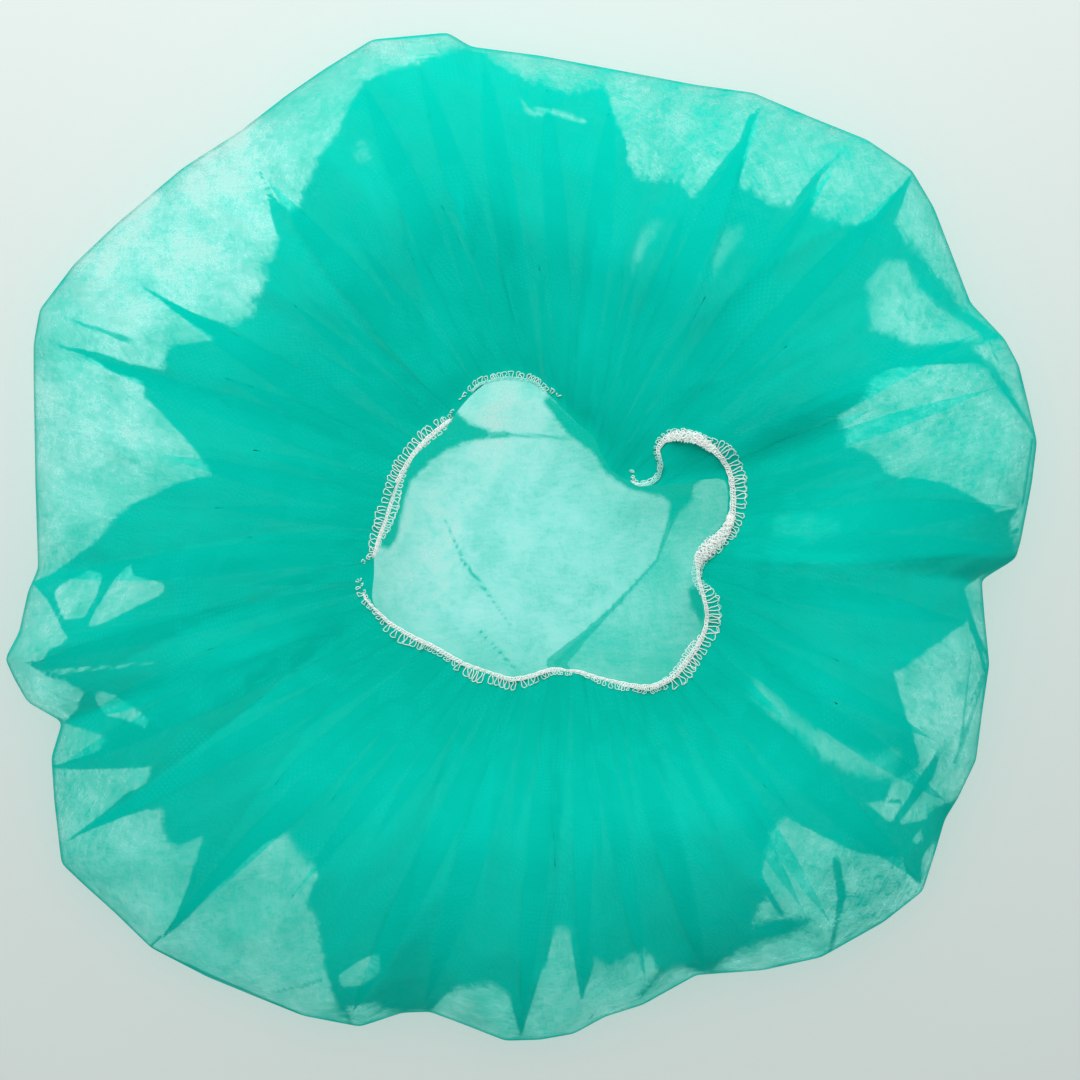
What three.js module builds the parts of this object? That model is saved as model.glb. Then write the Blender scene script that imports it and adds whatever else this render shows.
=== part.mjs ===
// Disposable bouffant cap lying on a table with its mouth up.
// Millimetres, +Z up, lowest point on z = 0, centred on x and y.
// The cap is one round cut of thin cloth: its middle lies flat on the table,
// its outer part is folded back over the middle, and its edge is gathered
// by an elastic band round the mouth.
import * as THREE from 'three';
import { mergeVertices } from 'three/addons/utils/BufferGeometryUtils.js';

// ---- driving sizes (mm) -------------------------------------------------
const WALL = 1.2;              // cloth wall
const BAND_RADIUS = 1.25;      // elastic band, half its thickness
const GAP = 0.35;              // clear space between band and cloth
const FLAT_FRACTION = 0.84;    // part of the underside that lies flat
const CREST_AT = 0.60;         // where the puffed top is highest, edge 0 .. mouth 1
const COLUMNS = 96;            // sections round the cap
const UNDER_ROWS = 3;          // rows on the flat underside
const EDGE_ROWS = 4;           // rows from the flat underside to the outer edge
const TOP_ROWS = 13;           // rows from the outer edge to the mouth
const MOUTH_CENTRE = { x: 10.8, y: -1.2 };

// ---- outline seen from above: one row a section -------------------------
// angle (deg), reach (mm from the middle), edge (height of the widest point),
// crest (height of the puffed top)
const OUTLINE = [
  { angle:   0, reach: 154.5, edge: 12, crest: 38 },
  { angle:  10, reach: 161.5, edge: 12, crest: 39 },
  { angle:  20, reach: 162.0, edge: 11, crest: 40 },
  { angle:  29, reach: 157.0, edge: 10, crest: 41 },
  { angle:  43, reach: 165.0, edge: 10, crest: 42 },
  { angle:  54, reach: 159.0, edge: 10, crest: 43 },
  { angle:  66, reach: 152.0, edge: 10, crest: 44 },
  { angle:  79, reach: 147.3, edge: 10, crest: 45 },
  { angle:  92, reach: 150.6, edge: 10, crest: 45 },
  { angle: 104, reach: 159.5, edge: 10, crest: 44 },
  { angle: 115, reach: 154.5, edge: 10, crest: 43 },
  { angle: 127, reach: 152.3, edge: 10, crest: 42 },
  { angle: 140, reach: 156.0, edge: 10, crest: 41 },
  { angle: 153, reach: 163.0, edge: 10, crest: 40 },
  { angle: 164, reach: 155.2, edge: 10, crest: 39 },
  { angle: 180, reach: 148.5, edge: 11, crest: 38 },
  { angle: 187, reach: 152.0, edge: 12, crest: 37 },
  { angle: 194, reach: 162.5, edge: 12, crest: 36 },
  { angle: 203, reach: 156.5, edge: 10, crest: 36 },
  { angle: 216, reach: 173.5, edge:  8, crest: 36 },
  { angle: 231, reach: 168.8, edge:  8, crest: 36 },
  { angle: 245, reach: 163.5, edge:  8, crest: 36 },
  { angle: 259, reach: 148.8, edge:  8, crest: 36 },
  { angle: 269, reach: 155.8, edge:  8, crest: 36 },
  { angle: 281, reach: 151.0, edge:  8, crest: 37 },
  { angle: 292, reach: 146.1, edge:  8, crest: 38 },
  { angle: 304, reach: 158.6, edge:  8, crest: 38 },
  { angle: 316, reach: 165.2, edge:  8, crest: 38 },
  { angle: 330, reach: 158.0, edge:  9, crest: 38 },
  { angle: 344, reach: 150.0, edge: 10, crest: 38 },
  { angle: 352, reach: 145.0, edge: 11, crest: 38 },
];

// ---- mouth: one row a section -------------------------------------------
// angle (deg) and reach (mm) about the mouth's middle, height of the band
const MOUTH = [
  { angle:   0, reach: 51.0, height: 22 },
  { angle:  14, reach: 57.0, height: 24 },
  { angle:  26, reach: 56.2, height: 25 },
  { angle:  37, reach: 49.0, height: 25 },
  { angle:  50, reach: 38.5, height: 24 },
  { angle:  66, reach: 34.0, height: 24 },
  { angle:  82, reach: 37.5, height: 25 },
  { angle:  96, reach: 47.5, height: 26 },
  { angle: 112, reach: 52.4, height: 26 },
  { angle: 126, reach: 49.0, height: 25 },
  { angle: 142, reach: 49.8, height: 24 },
  { angle: 160, reach: 51.4, height: 23 },
  { angle: 180, reach: 55.2, height: 21 },
  { angle: 198, reach: 58.0, height: 19 },
  { angle: 213, reach: 54.0, height: 17 },
  { angle: 230, reach: 47.6, height: 15 },
  { angle: 250, reach: 44.4, height: 14 },
  { angle: 268, reach: 40.5, height: 13 },
  { angle: 284, reach: 44.0, height: 14 },
  { angle: 298, reach: 52.0, height: 15 },
  { angle: 312, reach: 55.0, height: 17 },
  { angle: 330, reach: 52.0, height: 19 },
  { angle: 347, reach: 44.5, height: 21 },
];

// ---- main gathers: one row a fold ---------------------------------------
// angle (deg) at the mouth, lean (deg gained out to the tip), tip (how far it
// runs: 0 mouth .. 1 outer edge), width (mm at the mouth), rise (mm)
const FOLDS = [
  { angle:   4, lean:  2, tip: 0.80, width: 15, rise: 2.6 },
  { angle:  22, lean:  3, tip: 0.90, width: 13, rise: 2.4 },
  { angle:  38, lean:  1, tip: 0.93, width: 12, rise: 2.6 },
  { angle:  52, lean:  0, tip: 0.88, width: 12, rise: 2.6 },
  { angle:  66, lean: -1, tip: 0.90, width: 12, rise: 2.4 },
  { angle:  84, lean:  0, tip: 1.00, width: 16, rise: 3.0 },
  { angle: 103, lean:  1, tip: 1.00, width: 16, rise: 3.0 },
  { angle: 121, lean:  3, tip: 0.92, width: 14, rise: 2.8 },
  { angle: 139, lean:  4, tip: 0.90, width: 13, rise: 2.6 },
  { angle: 155, lean:  2, tip: 0.96, width: 13, rise: 2.4 },
  { angle: 171, lean:  0, tip: 0.98, width: 14, rise: 2.6 },
  { angle: 188, lean:  0, tip: 1.00, width: 15, rise: 2.8 },
  { angle: 207, lean: -1, tip: 0.96, width: 14, rise: 2.6 },
  { angle: 226, lean: -1, tip: 0.88, width: 13, rise: 2.6 },
  { angle: 247, lean: -2, tip: 0.95, width: 15, rise: 3.0 },
  { angle: 267, lean:  0, tip: 0.96, width: 13, rise: 2.4 },
  { angle: 283, lean: -1, tip: 0.98, width: 13, rise: 2.4 },
  { angle: 300, lean: -3, tip: 0.92, width: 13, rise: 2.6 },
  { angle: 317, lean: -1, tip: 0.90, width: 13, rise: 2.6 },
  { angle: 333, lean:  1, tip: 0.94, width: 13, rise: 2.4 },
  { angle: 349, lean:  2, tip: 0.96, width: 14, rise: 2.4 },
];

// ---- helpers -------------------------------------------------------------
const rad = THREE.MathUtils.degToRad;
const wrap = (d) => ((d % 360) + 540) % 360 - 180;

// smooth closed curve through a table's column
function around(table, column, angle) {
  const n = table.length;
  const a = ((angle % 360) + 360) % 360;
  let i = table.findIndex((row, k) => {
    const next = k + 1 < n ? table[k + 1].angle : table[0].angle + 360;
    return (a >= row.angle && a < next) || (a + 360 >= row.angle && a + 360 < next);
  });
  if (i < 0) i = n - 1;
  const at = (k) => table[((k % n) + n) % n];
  const turn = (k) => at(k).angle + 360 * Math.floor(k / n);
  const x0 = turn(i);
  const x1 = turn(i + 1);
  let x = a;
  while (x < x0) x += 360;
  const slope = (k) => (at(k + 1)[column] - at(k - 1)[column]) / (turn(k + 1) - turn(k - 1));
  const h = x1 - x0;
  const t = (x - x0) / h;
  const t2 = t * t;
  const t3 = t2 * t;
  return (2 * t3 - 3 * t2 + 1) * at(i)[column] + (t3 - 2 * t2 + t) * h * slope(i)
    + (3 * t2 - 2 * t3) * at(i + 1)[column] + (t3 - t2) * h * slope(i + 1);
}

// point of the mouth's line, or that far outside it, square to the line
function mouthPoint(angle, grow = 0) {
  const on = (a) => {
    const r = around(MOUTH, 'reach', a);
    return new THREE.Vector3(
      MOUTH_CENTRE.x + r * Math.cos(rad(a)),
      MOUTH_CENTRE.y + r * Math.sin(rad(a)),
      around(MOUTH, 'height', a),
    );
  };
  const along = on(angle + 1).sub(on(angle - 1));
  const out = new THREE.Vector3(along.y, -along.x, 0).normalize();
  return on(angle).addScaledVector(out, grow);
}

function edgePoint(angle, fraction = 1) {
  const r = around(OUTLINE, 'reach', angle) * fraction;
  return new THREE.Vector3(r * Math.cos(rad(angle)), r * Math.sin(rad(angle)), 0);
}

// rise of all the gathers at one section, where s is 0 at the mouth and 1 at the edge
function gathers(angle, s) {
  let rise = 0;
  const round = 50 + s * 105;
  for (const fold of FOLDS) {
    if (s >= fold.tip) continue;
    const left = 1 - s / fold.tip;
    const half = Math.max(fold.width * (0.55 + 0.45 * left), 3.3 * round / 50) * 0.5;
    const off = Math.abs(rad(wrap(angle - fold.angle - fold.lean * s / fold.tip))) * round;
    if (off < half) {
      rise += fold.rise * Math.min(1, left * 2.2) * 0.5 * (1 + Math.cos(Math.PI * off / half));
    }
  }
  return rise;
}

// outer face of the cloth: row 0 is the ring nearest the underside's middle
const ROWS = UNDER_ROWS + EDGE_ROWS + TOP_ROWS;
function clothPoint(column, row) {
  const angle = 360 * column / COLUMNS;
  const edgeHeight = around(OUTLINE, 'edge', angle);
  if (row <= UNDER_ROWS) {
    return edgePoint(angle, FLAT_FRACTION * (0.12 + 0.88 * row / UNDER_ROWS));
  }
  if (row <= UNDER_ROWS + EDGE_ROWS) {
    const p = (row - UNDER_ROWS) / EDGE_ROWS * Math.PI / 2;
    const point = edgePoint(angle, FLAT_FRACTION + (1 - FLAT_FRACTION) * Math.sin(p));
    point.z = edgeHeight * (1 - Math.cos(p));
    return point;
  }
  const q = (row - UNDER_ROWS - EDGE_ROWS) / TOP_ROWS;
  const t = Math.pow(q, 1.45);
  const outer = edgePoint(angle);
  const inner = mouthPoint(angle, BAND_RADIUS + GAP);
  const point = outer.clone().lerp(inner, t);
  const crest = around(OUTLINE, 'crest', angle);
  const lip = inner.z + WALL / 2;
  const z = q < CREST_AT
    ? edgeHeight + (crest - edgeHeight) * Math.sin(q / CREST_AT * Math.PI / 2)
    : crest + (lip - crest) * 0.5 * (1 - Math.cos(Math.PI * (q - CREST_AT) / (1 - CREST_AT)));
  const calm = Math.min(1, q * 4) * Math.min(1, (1 - q) * 3 + 0.25);
  point.z = z + gathers(angle, 1 - t) * calm;
  return point;
}

function clothSolid() {
  const outer = [];
  for (let row = 0; row <= ROWS; row++) {
    const ring = [];
    for (let column = 0; column < COLUMNS; column++) ring.push(clothPoint(column, row));
    outer.push(ring);
  }
  const inner = outer.map((ring, row) => ring.map((point, column) => {
    const left = ring[(column + COLUMNS - 1) % COLUMNS];
    const right = ring[(column + 1) % COLUMNS];
    const below = outer[Math.max(row - 1, 0)][column];
    const above = outer[Math.min(row + 1, ROWS)][column];
    const out = right.clone().sub(left).cross(above.clone().sub(below)).normalize();
    if (row < UNDER_ROWS) out.set(0, 0, -1);
    return point.clone().addScaledVector(out, -WALL);
  }));
  const vertices = [];
  const faces = [];
  const put = (p) => { vertices.push(p.x, p.y, p.z); return vertices.length / 3 - 1; };
  const outerIds = outer.map((ring) => ring.map(put));
  const innerIds = inner.map((ring) => ring.map(put));
  const outerMiddle = put(new THREE.Vector3(0, 0, 0));
  const innerMiddle = put(new THREE.Vector3(0, 0, WALL));
  const quad = (a, b, c, d) => { faces.push(a, b, c, a, c, d); };
  for (let c = 0; c < COLUMNS; c++) {
    const n = (c + 1) % COLUMNS;
    faces.push(outerMiddle, outerIds[0][n], outerIds[0][c]);
    faces.push(innerMiddle, innerIds[0][c], innerIds[0][n]);
    for (let r = 0; r < ROWS; r++) {
      quad(outerIds[r][c], outerIds[r][n], outerIds[r + 1][n], outerIds[r + 1][c]);
      quad(innerIds[r][n], innerIds[r][c], innerIds[r + 1][c], innerIds[r + 1][n]);
    }
    quad(outerIds[ROWS][c], outerIds[ROWS][n], innerIds[ROWS][n], innerIds[ROWS][c]);
  }
  const geometry = new THREE.BufferGeometry();
  geometry.setAttribute('position', new THREE.Float32BufferAttribute(vertices, 3));
  geometry.setIndex(faces);
  return geometry;
}

class BandPath extends THREE.Curve {
  getPoint(t, target = new THREE.Vector3()) {
    return target.copy(mouthPoint(360 * (t % 1)));
  }
}

function bandSolid() {
  const tube = new THREE.TubeGeometry(new BandPath(), COLUMNS, BAND_RADIUS, 8, true);
  tube.deleteAttribute('normal');
  tube.deleteAttribute('uv');
  return mergeVertices(tube, 1e-3);
}

// ---- the two pieces ------------------------------------------------------
const cloth = new THREE.Mesh(
  clothSolid(),
  new THREE.MeshStandardMaterial({ color: 0x38cdb8, roughness: 0.85, metalness: 0 }),
);
cloth.name = 'cap_cloth';

const band = new THREE.Mesh(
  bandSolid(),
  new THREE.MeshStandardMaterial({ color: 0xeef2ee, roughness: 0.7, metalness: 0 }),
);
band.name = 'elastic_band';

// centre the whole cap on x and y
const cap = new THREE.Group();
cap.add(cloth, band);
cap.updateMatrixWorld(true);
const box = new THREE.Box3().setFromObject(cap);
const middle = box.getCenter(new THREE.Vector3());
cap.position.set(-middle.x, -middle.y, -box.min.z);
cap.updateMatrixWorld(true);

export default cap;
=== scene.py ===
import math

import bpy
import numpy as np
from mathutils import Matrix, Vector
from mathutils.bvhtree import BVHTree


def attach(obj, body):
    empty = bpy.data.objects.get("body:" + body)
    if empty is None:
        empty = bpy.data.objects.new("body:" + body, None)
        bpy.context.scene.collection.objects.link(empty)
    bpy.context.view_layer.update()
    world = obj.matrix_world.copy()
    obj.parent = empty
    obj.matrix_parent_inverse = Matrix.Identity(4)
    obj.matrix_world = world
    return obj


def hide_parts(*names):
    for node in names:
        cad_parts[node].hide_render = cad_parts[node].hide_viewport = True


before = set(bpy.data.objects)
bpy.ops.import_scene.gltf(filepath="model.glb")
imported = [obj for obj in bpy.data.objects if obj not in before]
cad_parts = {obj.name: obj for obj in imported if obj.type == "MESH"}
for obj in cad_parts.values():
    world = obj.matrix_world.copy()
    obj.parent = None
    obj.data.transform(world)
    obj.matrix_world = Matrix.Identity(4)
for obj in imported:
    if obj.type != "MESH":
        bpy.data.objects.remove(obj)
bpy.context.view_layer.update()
rng = np.random.default_rng(21)

# ---------------------------------------------------------------- plan ----
# The cap is laid out on a plan seen from above. One plan unit is UNIT mm.
UNIT = 0.308
SHIFT = (-1.003, 0.295)      # where plan point (520, 536) lies in the part's frame, mm


def plan(points):
    p = np.asarray(points, float)
    return np.stack([(p[..., 0] - 520) * UNIT + SHIFT[0], (536 - p[..., 1]) * UNIT + SHIFT[1]], -1)


MIDDLE = plan((520, 536))
MOUTH_MIDDLE = plan((555, 540))

# outline of the cap: corners of its folded outer edge (x, y on the plan)
OUTLINE = [
    (1020, 540), (1031, 482), (1036, 441), (1028, 406), (1018, 365), (1004, 339), (970, 303), (950, 251),
    (933, 207), (911, 170), (867, 140), (805, 115), (753, 93), (695, 85), (626, 72), (540, 56), (470, 47),
    (447, 33), (372, 40), (325, 69), (286, 96), (241, 131), (182, 169), (117, 224), (74, 265), (40, 310),
    (34, 344), (34, 379), (36, 482), (38, 540), (39, 569), (29, 592), (20, 633), (6, 659), (15, 679),
    (28, 702), (63, 722), (52, 758), (55, 802), (62, 864), (83, 884), (114, 912), (151, 948), (207, 977),
    (258, 998), (303, 1016), (360, 1027), (402, 1013), (430, 1012), (465, 1025), (506, 1041), (540, 1040),
    (574, 1034), (605, 1017), (643, 1005), (697, 975), (764, 970), (822, 957), (884, 922), (923, 891),
    (936, 850), (945, 819), (958, 798), (976, 760), (982, 712), (989, 664), (984, 616), (981, 579),
    (1015, 558),
]

# height of the folded edge and of the puffed top round the cap (angle in degrees, mm)
SIDES = [
    # angle, edge, crest
    (0, 12, 38), (20, 11, 40), (43, 10, 42), (66, 10, 44), (92, 10, 45), (115, 10, 43), (140, 10, 41),
    (164, 10, 39), (187, 12, 37), (203, 10, 36), (231, 8, 36), (259, 8, 36), (281, 8, 37), (316, 8, 38),
    (344, 10, 38),
]

# cloth edge round the mouth (angle about the mouth's middle, reach in plan units,
# height mm, curl: how far the cloth bulges in over its own edge, mm)
MOUTH = [
    (0, 150, 21, 0), (3, 160, 21, 0), (7, 171, 21, 0), (13, 176, 22, 0), (19, 180, 22, 0), (21.4, 175, 22, 0), (22.8, 148, 21, 0), (25.5, 124, 20, 0),
    (32, 104, 19, 2), (42, 91, 19, 3), (52, 89, 20, 4), (62, 97, 21, 5), (70, 110, 22, 5), (79, 117, 23, 5),
    (87, 130, 24, 4), (94, 148, 24, 3), (101, 162, 24, 2), (112, 171, 24, 2), (121, 165, 23, 4), (130, 158, 22, 4),
    (138, 159, 22, 2), (150, 165, 22, 1), (165, 168, 21, 1), (174, 171, 20, 2), (182, 179, 19, 3), (191, 183, 18, 3),
    (198, 192, 17, 2), (204, 189, 16, 1), (213, 176, 15, 0), (221, 162, 14, 0), (229, 157, 13, 0), (238, 152, 13, 0),
    (252, 145, 12, 0), (260, 137, 12, 0), (267, 131, 12, 0), (274, 131, 12, 0), (281, 136, 12, 0), (288, 146, 13, 0),
    (294, 158, 13, 0), (302, 174, 14, 0), (308, 179, 15, 0), (315, 178, 16, 0), (326, 173, 17, 0), (334, 166, 18, 0),
    (342, 153, 19, 0), (350, 143, 20, 0), (355, 140, 21, 0),
]

# main pleats: where each one starts out near the edge (x, y on the plan), how fast
# it widens towards the mouth, its widest overlap (mm), and which way it leans
PLEATS = [
    # x, y, rate, widest, lean
    (1016, 506, 0.36, 17, 1), (1010, 548, 0.50, 18, -1), (1001, 386, 0.22, 13, 1), (984, 330, 0.26, 14, 1),
    (910, 176, 0.40, 15, 1), (840, 155, 0.30, 13, 1), (760, 110, 0.40, 15, 1), (690, 196, 0.34, 13, -1),
    (612, 98, 0.50, 18, 1), (545, 88, 0.42, 16, -1), (482, 58, 0.46, 17, 1), (420, 66, 0.44, 17, -1),
    (362, 86, 0.50, 18, -1), (264, 178, 0.42, 15, -1), (151, 292, 0.34, 14, -1), (62, 348, 0.26, 14, -1),
    (150, 452, 0.30, 13, 1), (52, 576, 0.42, 17, 1), (64, 640, 0.34, 15, -1), (36, 661, 0.36, 16, 1),
    (66, 722, 0.40, 17, -1), (54, 767, 0.44, 15, 1), (74, 838, 0.26, 13, 1), (164, 936, 0.36, 15, 1),
    (290, 900, 0.30, 12, -1), (350, 1020, 0.42, 17, -1), (424, 1012, 0.40, 16, 1), (521, 1030, 0.34, 14, 1),
    (584, 992, 0.30, 13, -1), (645, 990, 0.28, 13, -1), (706, 974, 0.40, 16, 1), (808, 918, 0.26, 13, -1),
    (833, 930, 0.26, 12, 1), (920, 882, 0.42, 15, 1), (950, 806, 0.38, 15, -1), (938, 743, 0.30, 13, 1),
    (962, 622, 0.40, 15, -1),
]

# edge of the dense gathers, where three or more layers lie on each other
# (x, y on the plan, anticlockwise from the right)
GATHERS = [
    (1016, 507), (991, 513), (967, 498), (936, 484), (891, 477), (871, 458), (840, 446), (833, 417), (858, 403),
    (860, 382), (884, 371), (929, 367), (967, 365), (984, 374), (1008, 405), (1033, 435), (1002, 385), (987, 362),
    (970, 349), (984, 341), (1002, 339), (970, 313), (946, 289), (919, 262), (891, 226), (898, 207), (911, 175),
    (881, 210), (867, 226), (850, 230), (833, 226), (812, 220), (806, 207), (815, 183), (841, 154), (812, 179),
    (795, 200), (786, 211), (767, 208), (747, 197), (735, 197), (740, 162), (748, 134), (761, 109), (747, 121),
    (736, 148), (719, 169), (695, 201), (688, 203), (678, 187), (654, 181), (636, 186), (626, 172), (624, 145),
    (611, 121), (607, 100), (599, 90), (585, 93), (571, 99), (550, 93), (540, 88), (517, 81), (496, 67), (482, 52),
    (470, 46), (455, 54), (441, 60), (424, 65), (396, 74), (365, 84), (358, 103), (348, 121), (334, 145), (320, 169),
    (310, 193), (303, 213), (294, 223), (289, 214), (275, 199), (263, 175), (273, 203), (277, 224), (284, 248),
    (274, 269), (272, 286), (260, 303), (257, 319), (238, 329), (220, 325), (193, 315), (172, 303), (150, 291),
    (176, 311), (200, 328), (224, 344), (203, 347), (176, 350), (171, 365), (172, 373), (138, 368), (107, 356),
    (60, 347), (100, 361), (120, 374), (148, 383), (151, 399), (169, 414), (186, 434), (207, 458), (222, 478),
    (206, 479), (176, 487), (165, 495), (138, 505), (120, 520), (103, 541), (79, 558), (52, 576), (34, 582),
    (42, 600), (60, 640), (48, 660), (30, 662), (48, 672), (70, 686), (84, 706), (66, 722), (96, 729), (115, 736),
    (103, 750), (76, 759), (50, 767), (86, 767), (121, 765), (158, 763), (152, 781), (131, 791), (112, 808),
    (70, 839), (96, 826), (131, 812), (150, 806), (169, 805), (168, 838), (179, 843), (208, 830), (207, 838),
    (193, 881), (179, 914), (163, 937), (193, 912), (214, 888), (241, 864), (255, 850), (272, 836), (293, 828),
    (306, 846), (322, 868), (310, 898), (320, 915), (325, 946), (331, 977), (339, 1001), (351, 1024), (349, 1004),
    (379, 1005), (406, 1013), (429, 1013), (441, 996), (465, 981), (496, 977), (510, 990), (521, 1034), (528, 1010),
    (540, 968), (546, 958), (554, 921), (569, 922), (575, 960), (581, 996), (590, 968), (594, 951), (609, 960),
    (640, 944), (652, 952), (656, 968), (641, 993), (656, 973), (679, 961), (704, 974), (714, 970), (736, 951),
    (764, 937), (805, 922), (812, 915), (796, 911), (764, 919), (748, 921), (754, 908), (762, 890), (758, 864),
    (763, 828), (781, 811), (815, 829), (850, 846), (877, 853), (898, 853), (906, 871), (921, 887), (921, 858),
    (936, 836), (956, 810), (953, 801), (932, 805), (922, 818), (893, 821), (912, 798), (929, 774), (939, 741),
    (919, 770), (902, 798), (885, 820), (860, 798), (881, 795), (888, 778), (915, 762), (908, 736), (898, 705),
    (888, 671), (919, 650), (962, 621), (957, 588), (984, 574), (1017, 557), (1010, 530),
]

# thin places inside the gathers, where only two layers lie (plan polygons)
THIN = [
    [(881, 262), (902, 265), (914, 287), (928, 302), (950, 318), (975, 332), (982, 345), (950, 345), (905, 350), (886, 340), (864, 334), (860, 286)],
    [(69, 581), (96, 568), (110, 574), (103, 595), (91, 617), (69, 619), (57, 592)],
    [(136, 561), (141, 574), (172, 583), (170, 593), (145, 605), (114, 621), (92, 628), (100, 612), (121, 578)],
    [(36, 584), (52, 599), (65, 623), (76, 640), (52, 650), (30, 661), (8, 655), (20, 620)],
    [(45, 668), (90, 665), (138, 661), (162, 657), (162, 661), (138, 666), (90, 670), (65, 674)],
    [(10, 663), (45, 674), (69, 678), (91, 690), (83, 702), (63, 716), (30, 706), (14, 684)],
    [(99, 692), (108, 689), (120, 692), (139, 703), (158, 717), (154, 727), (133, 718), (112, 714), (102, 704)],
    [(519, 103), (529, 115), (552, 115), (586, 124), (585, 131), (551, 122), (526, 122)],
    [(339, 972), (358, 957), (382, 945), (384, 967), (365, 981), (344, 984)],
    [(745, 688), (754, 674), (778, 698), (802, 719), (833, 733), (860, 747), (884, 743), (898, 748), (891, 778), (850, 774), (815, 754), (795, 733), (774, 719), (750, 698)],
    [(908, 836), (918, 826), (921, 838), (912, 843)],
    [(764, 512), (800, 508), (838, 514), (842, 536), (800, 548), (766, 540)],
    [(628, 262), (640, 232), (654, 222), (665, 228), (650, 250), (630, 282)],
    [(708, 262), (720, 235), (738, 228), (744, 240), (726, 262), (708, 288)],
    [(352, 158), (362, 142), (374, 150), (378, 172), (360, 172)],
    [(552, 920), (560, 914), (571, 922), (573, 946), (566, 958), (554, 950)],
]

# how soft each of those places' edge is (mm), and how thin it is
THIN_SOFT = [
    (2.4, 0.95), (1.4, 0.70), (0.7, 0.95), (0.9, 0.90), (0.5, 0.95), (0.8, 0.95), (0.7, 0.95), (1.2, 0.50), (1.2, 0.85),
    (4.0, 0.88), (0.7, 0.95), (4.0, 0.60), (2.4, 0.62), (2.2, 0.60), (2.0, 0.45), (2.2, 0.60),
]

# places where the web is thinnest and lets most of the floor show; the spots in the mouth are painted light, making the
# crown floor paler where light falls on it (x, y, reach on the plan, share)
PALE_WEB_AND_PAINTED_LIGHT = [
    (195, 215, 110, 1.0), (120, 285, 70, 0.8), (240, 150, 60, 0.7), (80, 440, 95, 0.62), (400, 58, 50, 0.5), (120, 420, 50, 0.3),
    (905, 325, 45, 0.40), (60, 600, 45, 0.35), (45, 690, 45, 0.25), (930, 700, 55, 0.40), (130, 600, 40, 0.4), (110, 855, 60, 0.15),
    (700, 560, 30, 0.2), (425, 540, 78, 0.85), (505, 412, 55, 1.15), (430, 600, 50, 0.5), (490, 480, 80, 0.40), (560, 590, 90, 0.22),
]

# narrow folds lying across the thin cloth (plan points, width at each end, mm)
CREASES = [
    # x1, y1, x2, y2, width1, width2, depth
    (374, 41, 448, 35, 1.6, 1.2, 0.6), (441, 44, 441, 58, 0.8, 0.8, 0.7), (463, 47, 600, 68, 0.9, 0.5, 0.6),
    (69, 320, 134, 343, 0.8, 2.0, 0.7), (96, 410, 128, 447, 1.0, 2.0, 0.30), (128, 447, 158, 478, 2.0, 4.5, 0.38),
    (957, 588, 984, 671, 1.6, 0.8, 0.8), (970, 640, 958, 735, 0.8, 1.6, 0.5), (988, 664, 952, 760, 1.0, 2.2, 0.5),
    (984, 337, 1002, 386, 0.9, 0.9, 0.7), (1000, 386, 1033, 435, 1.0, 0.8, 0.8), (1030, 440, 1020, 505, 1.4, 1.4, 0.6),
    (985, 545, 1015, 530, 2.4, 1.6, 0.7), 
    (764, 852, 832, 866, 0.9, 1.2, 0.55), (779, 910, 760, 880, 1.0, 1.8, 0.8),
    (936, 750, 915, 783, 0.5, 2.3, 0.95), (915, 783, 891, 819, 2.3, 0.6, 0.95), (831, 855, 838, 892, 2.2, 2.4, 0.9), (838, 892, 830, 950, 2.2, 0.5, 0.85),
    (957, 590, 970, 628, 1.0, 2.0, 0.85), (970, 628, 987, 657, 1.6, 0.8, 0.8), (987, 662, 966, 705, 0.6, 0.8, 0.7), (860, 795, 895, 798, 0.5, 1.0, 0.8), (150, 806, 92, 832, 0.6, 1.2, 0.42),
    (114, 812, 90, 848, 0.6, 1.6, 0.34), (92, 856, 90, 880, 1.8, 1.4, 0.28), (151, 945, 163, 934, 1.2, 1.6, 0.6),
    (260, 995, 322, 977, 0.8, 1.6, 0.5), (302, 987, 322, 974, 0.6, 1.8, 0.5), (83, 884, 151, 948, 1.0, 1.0, 0.5),
    (151, 948, 300, 1014, 1.1, 1.1, 0.6), (753, 94, 700, 100, 0.5, 1.4, 0.5), (700, 100, 640, 92, 1.4, 0.6, 0.4),
    (869, 142, 850, 146, 1.4, 0.5, 0.6), (647, 110, 617, 112, 0.8, 0.5, 0.4), (945, 620, 925, 640, 0.6, 1.2, 0.3),
    (234, 165, 248, 190, 1.2, 0.6, 0.3), (70, 262, 100, 290, 0.7, 0.5, 0.3), (590, 1018, 600, 1000, 1.4, 0.5, 0.5),
]

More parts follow.
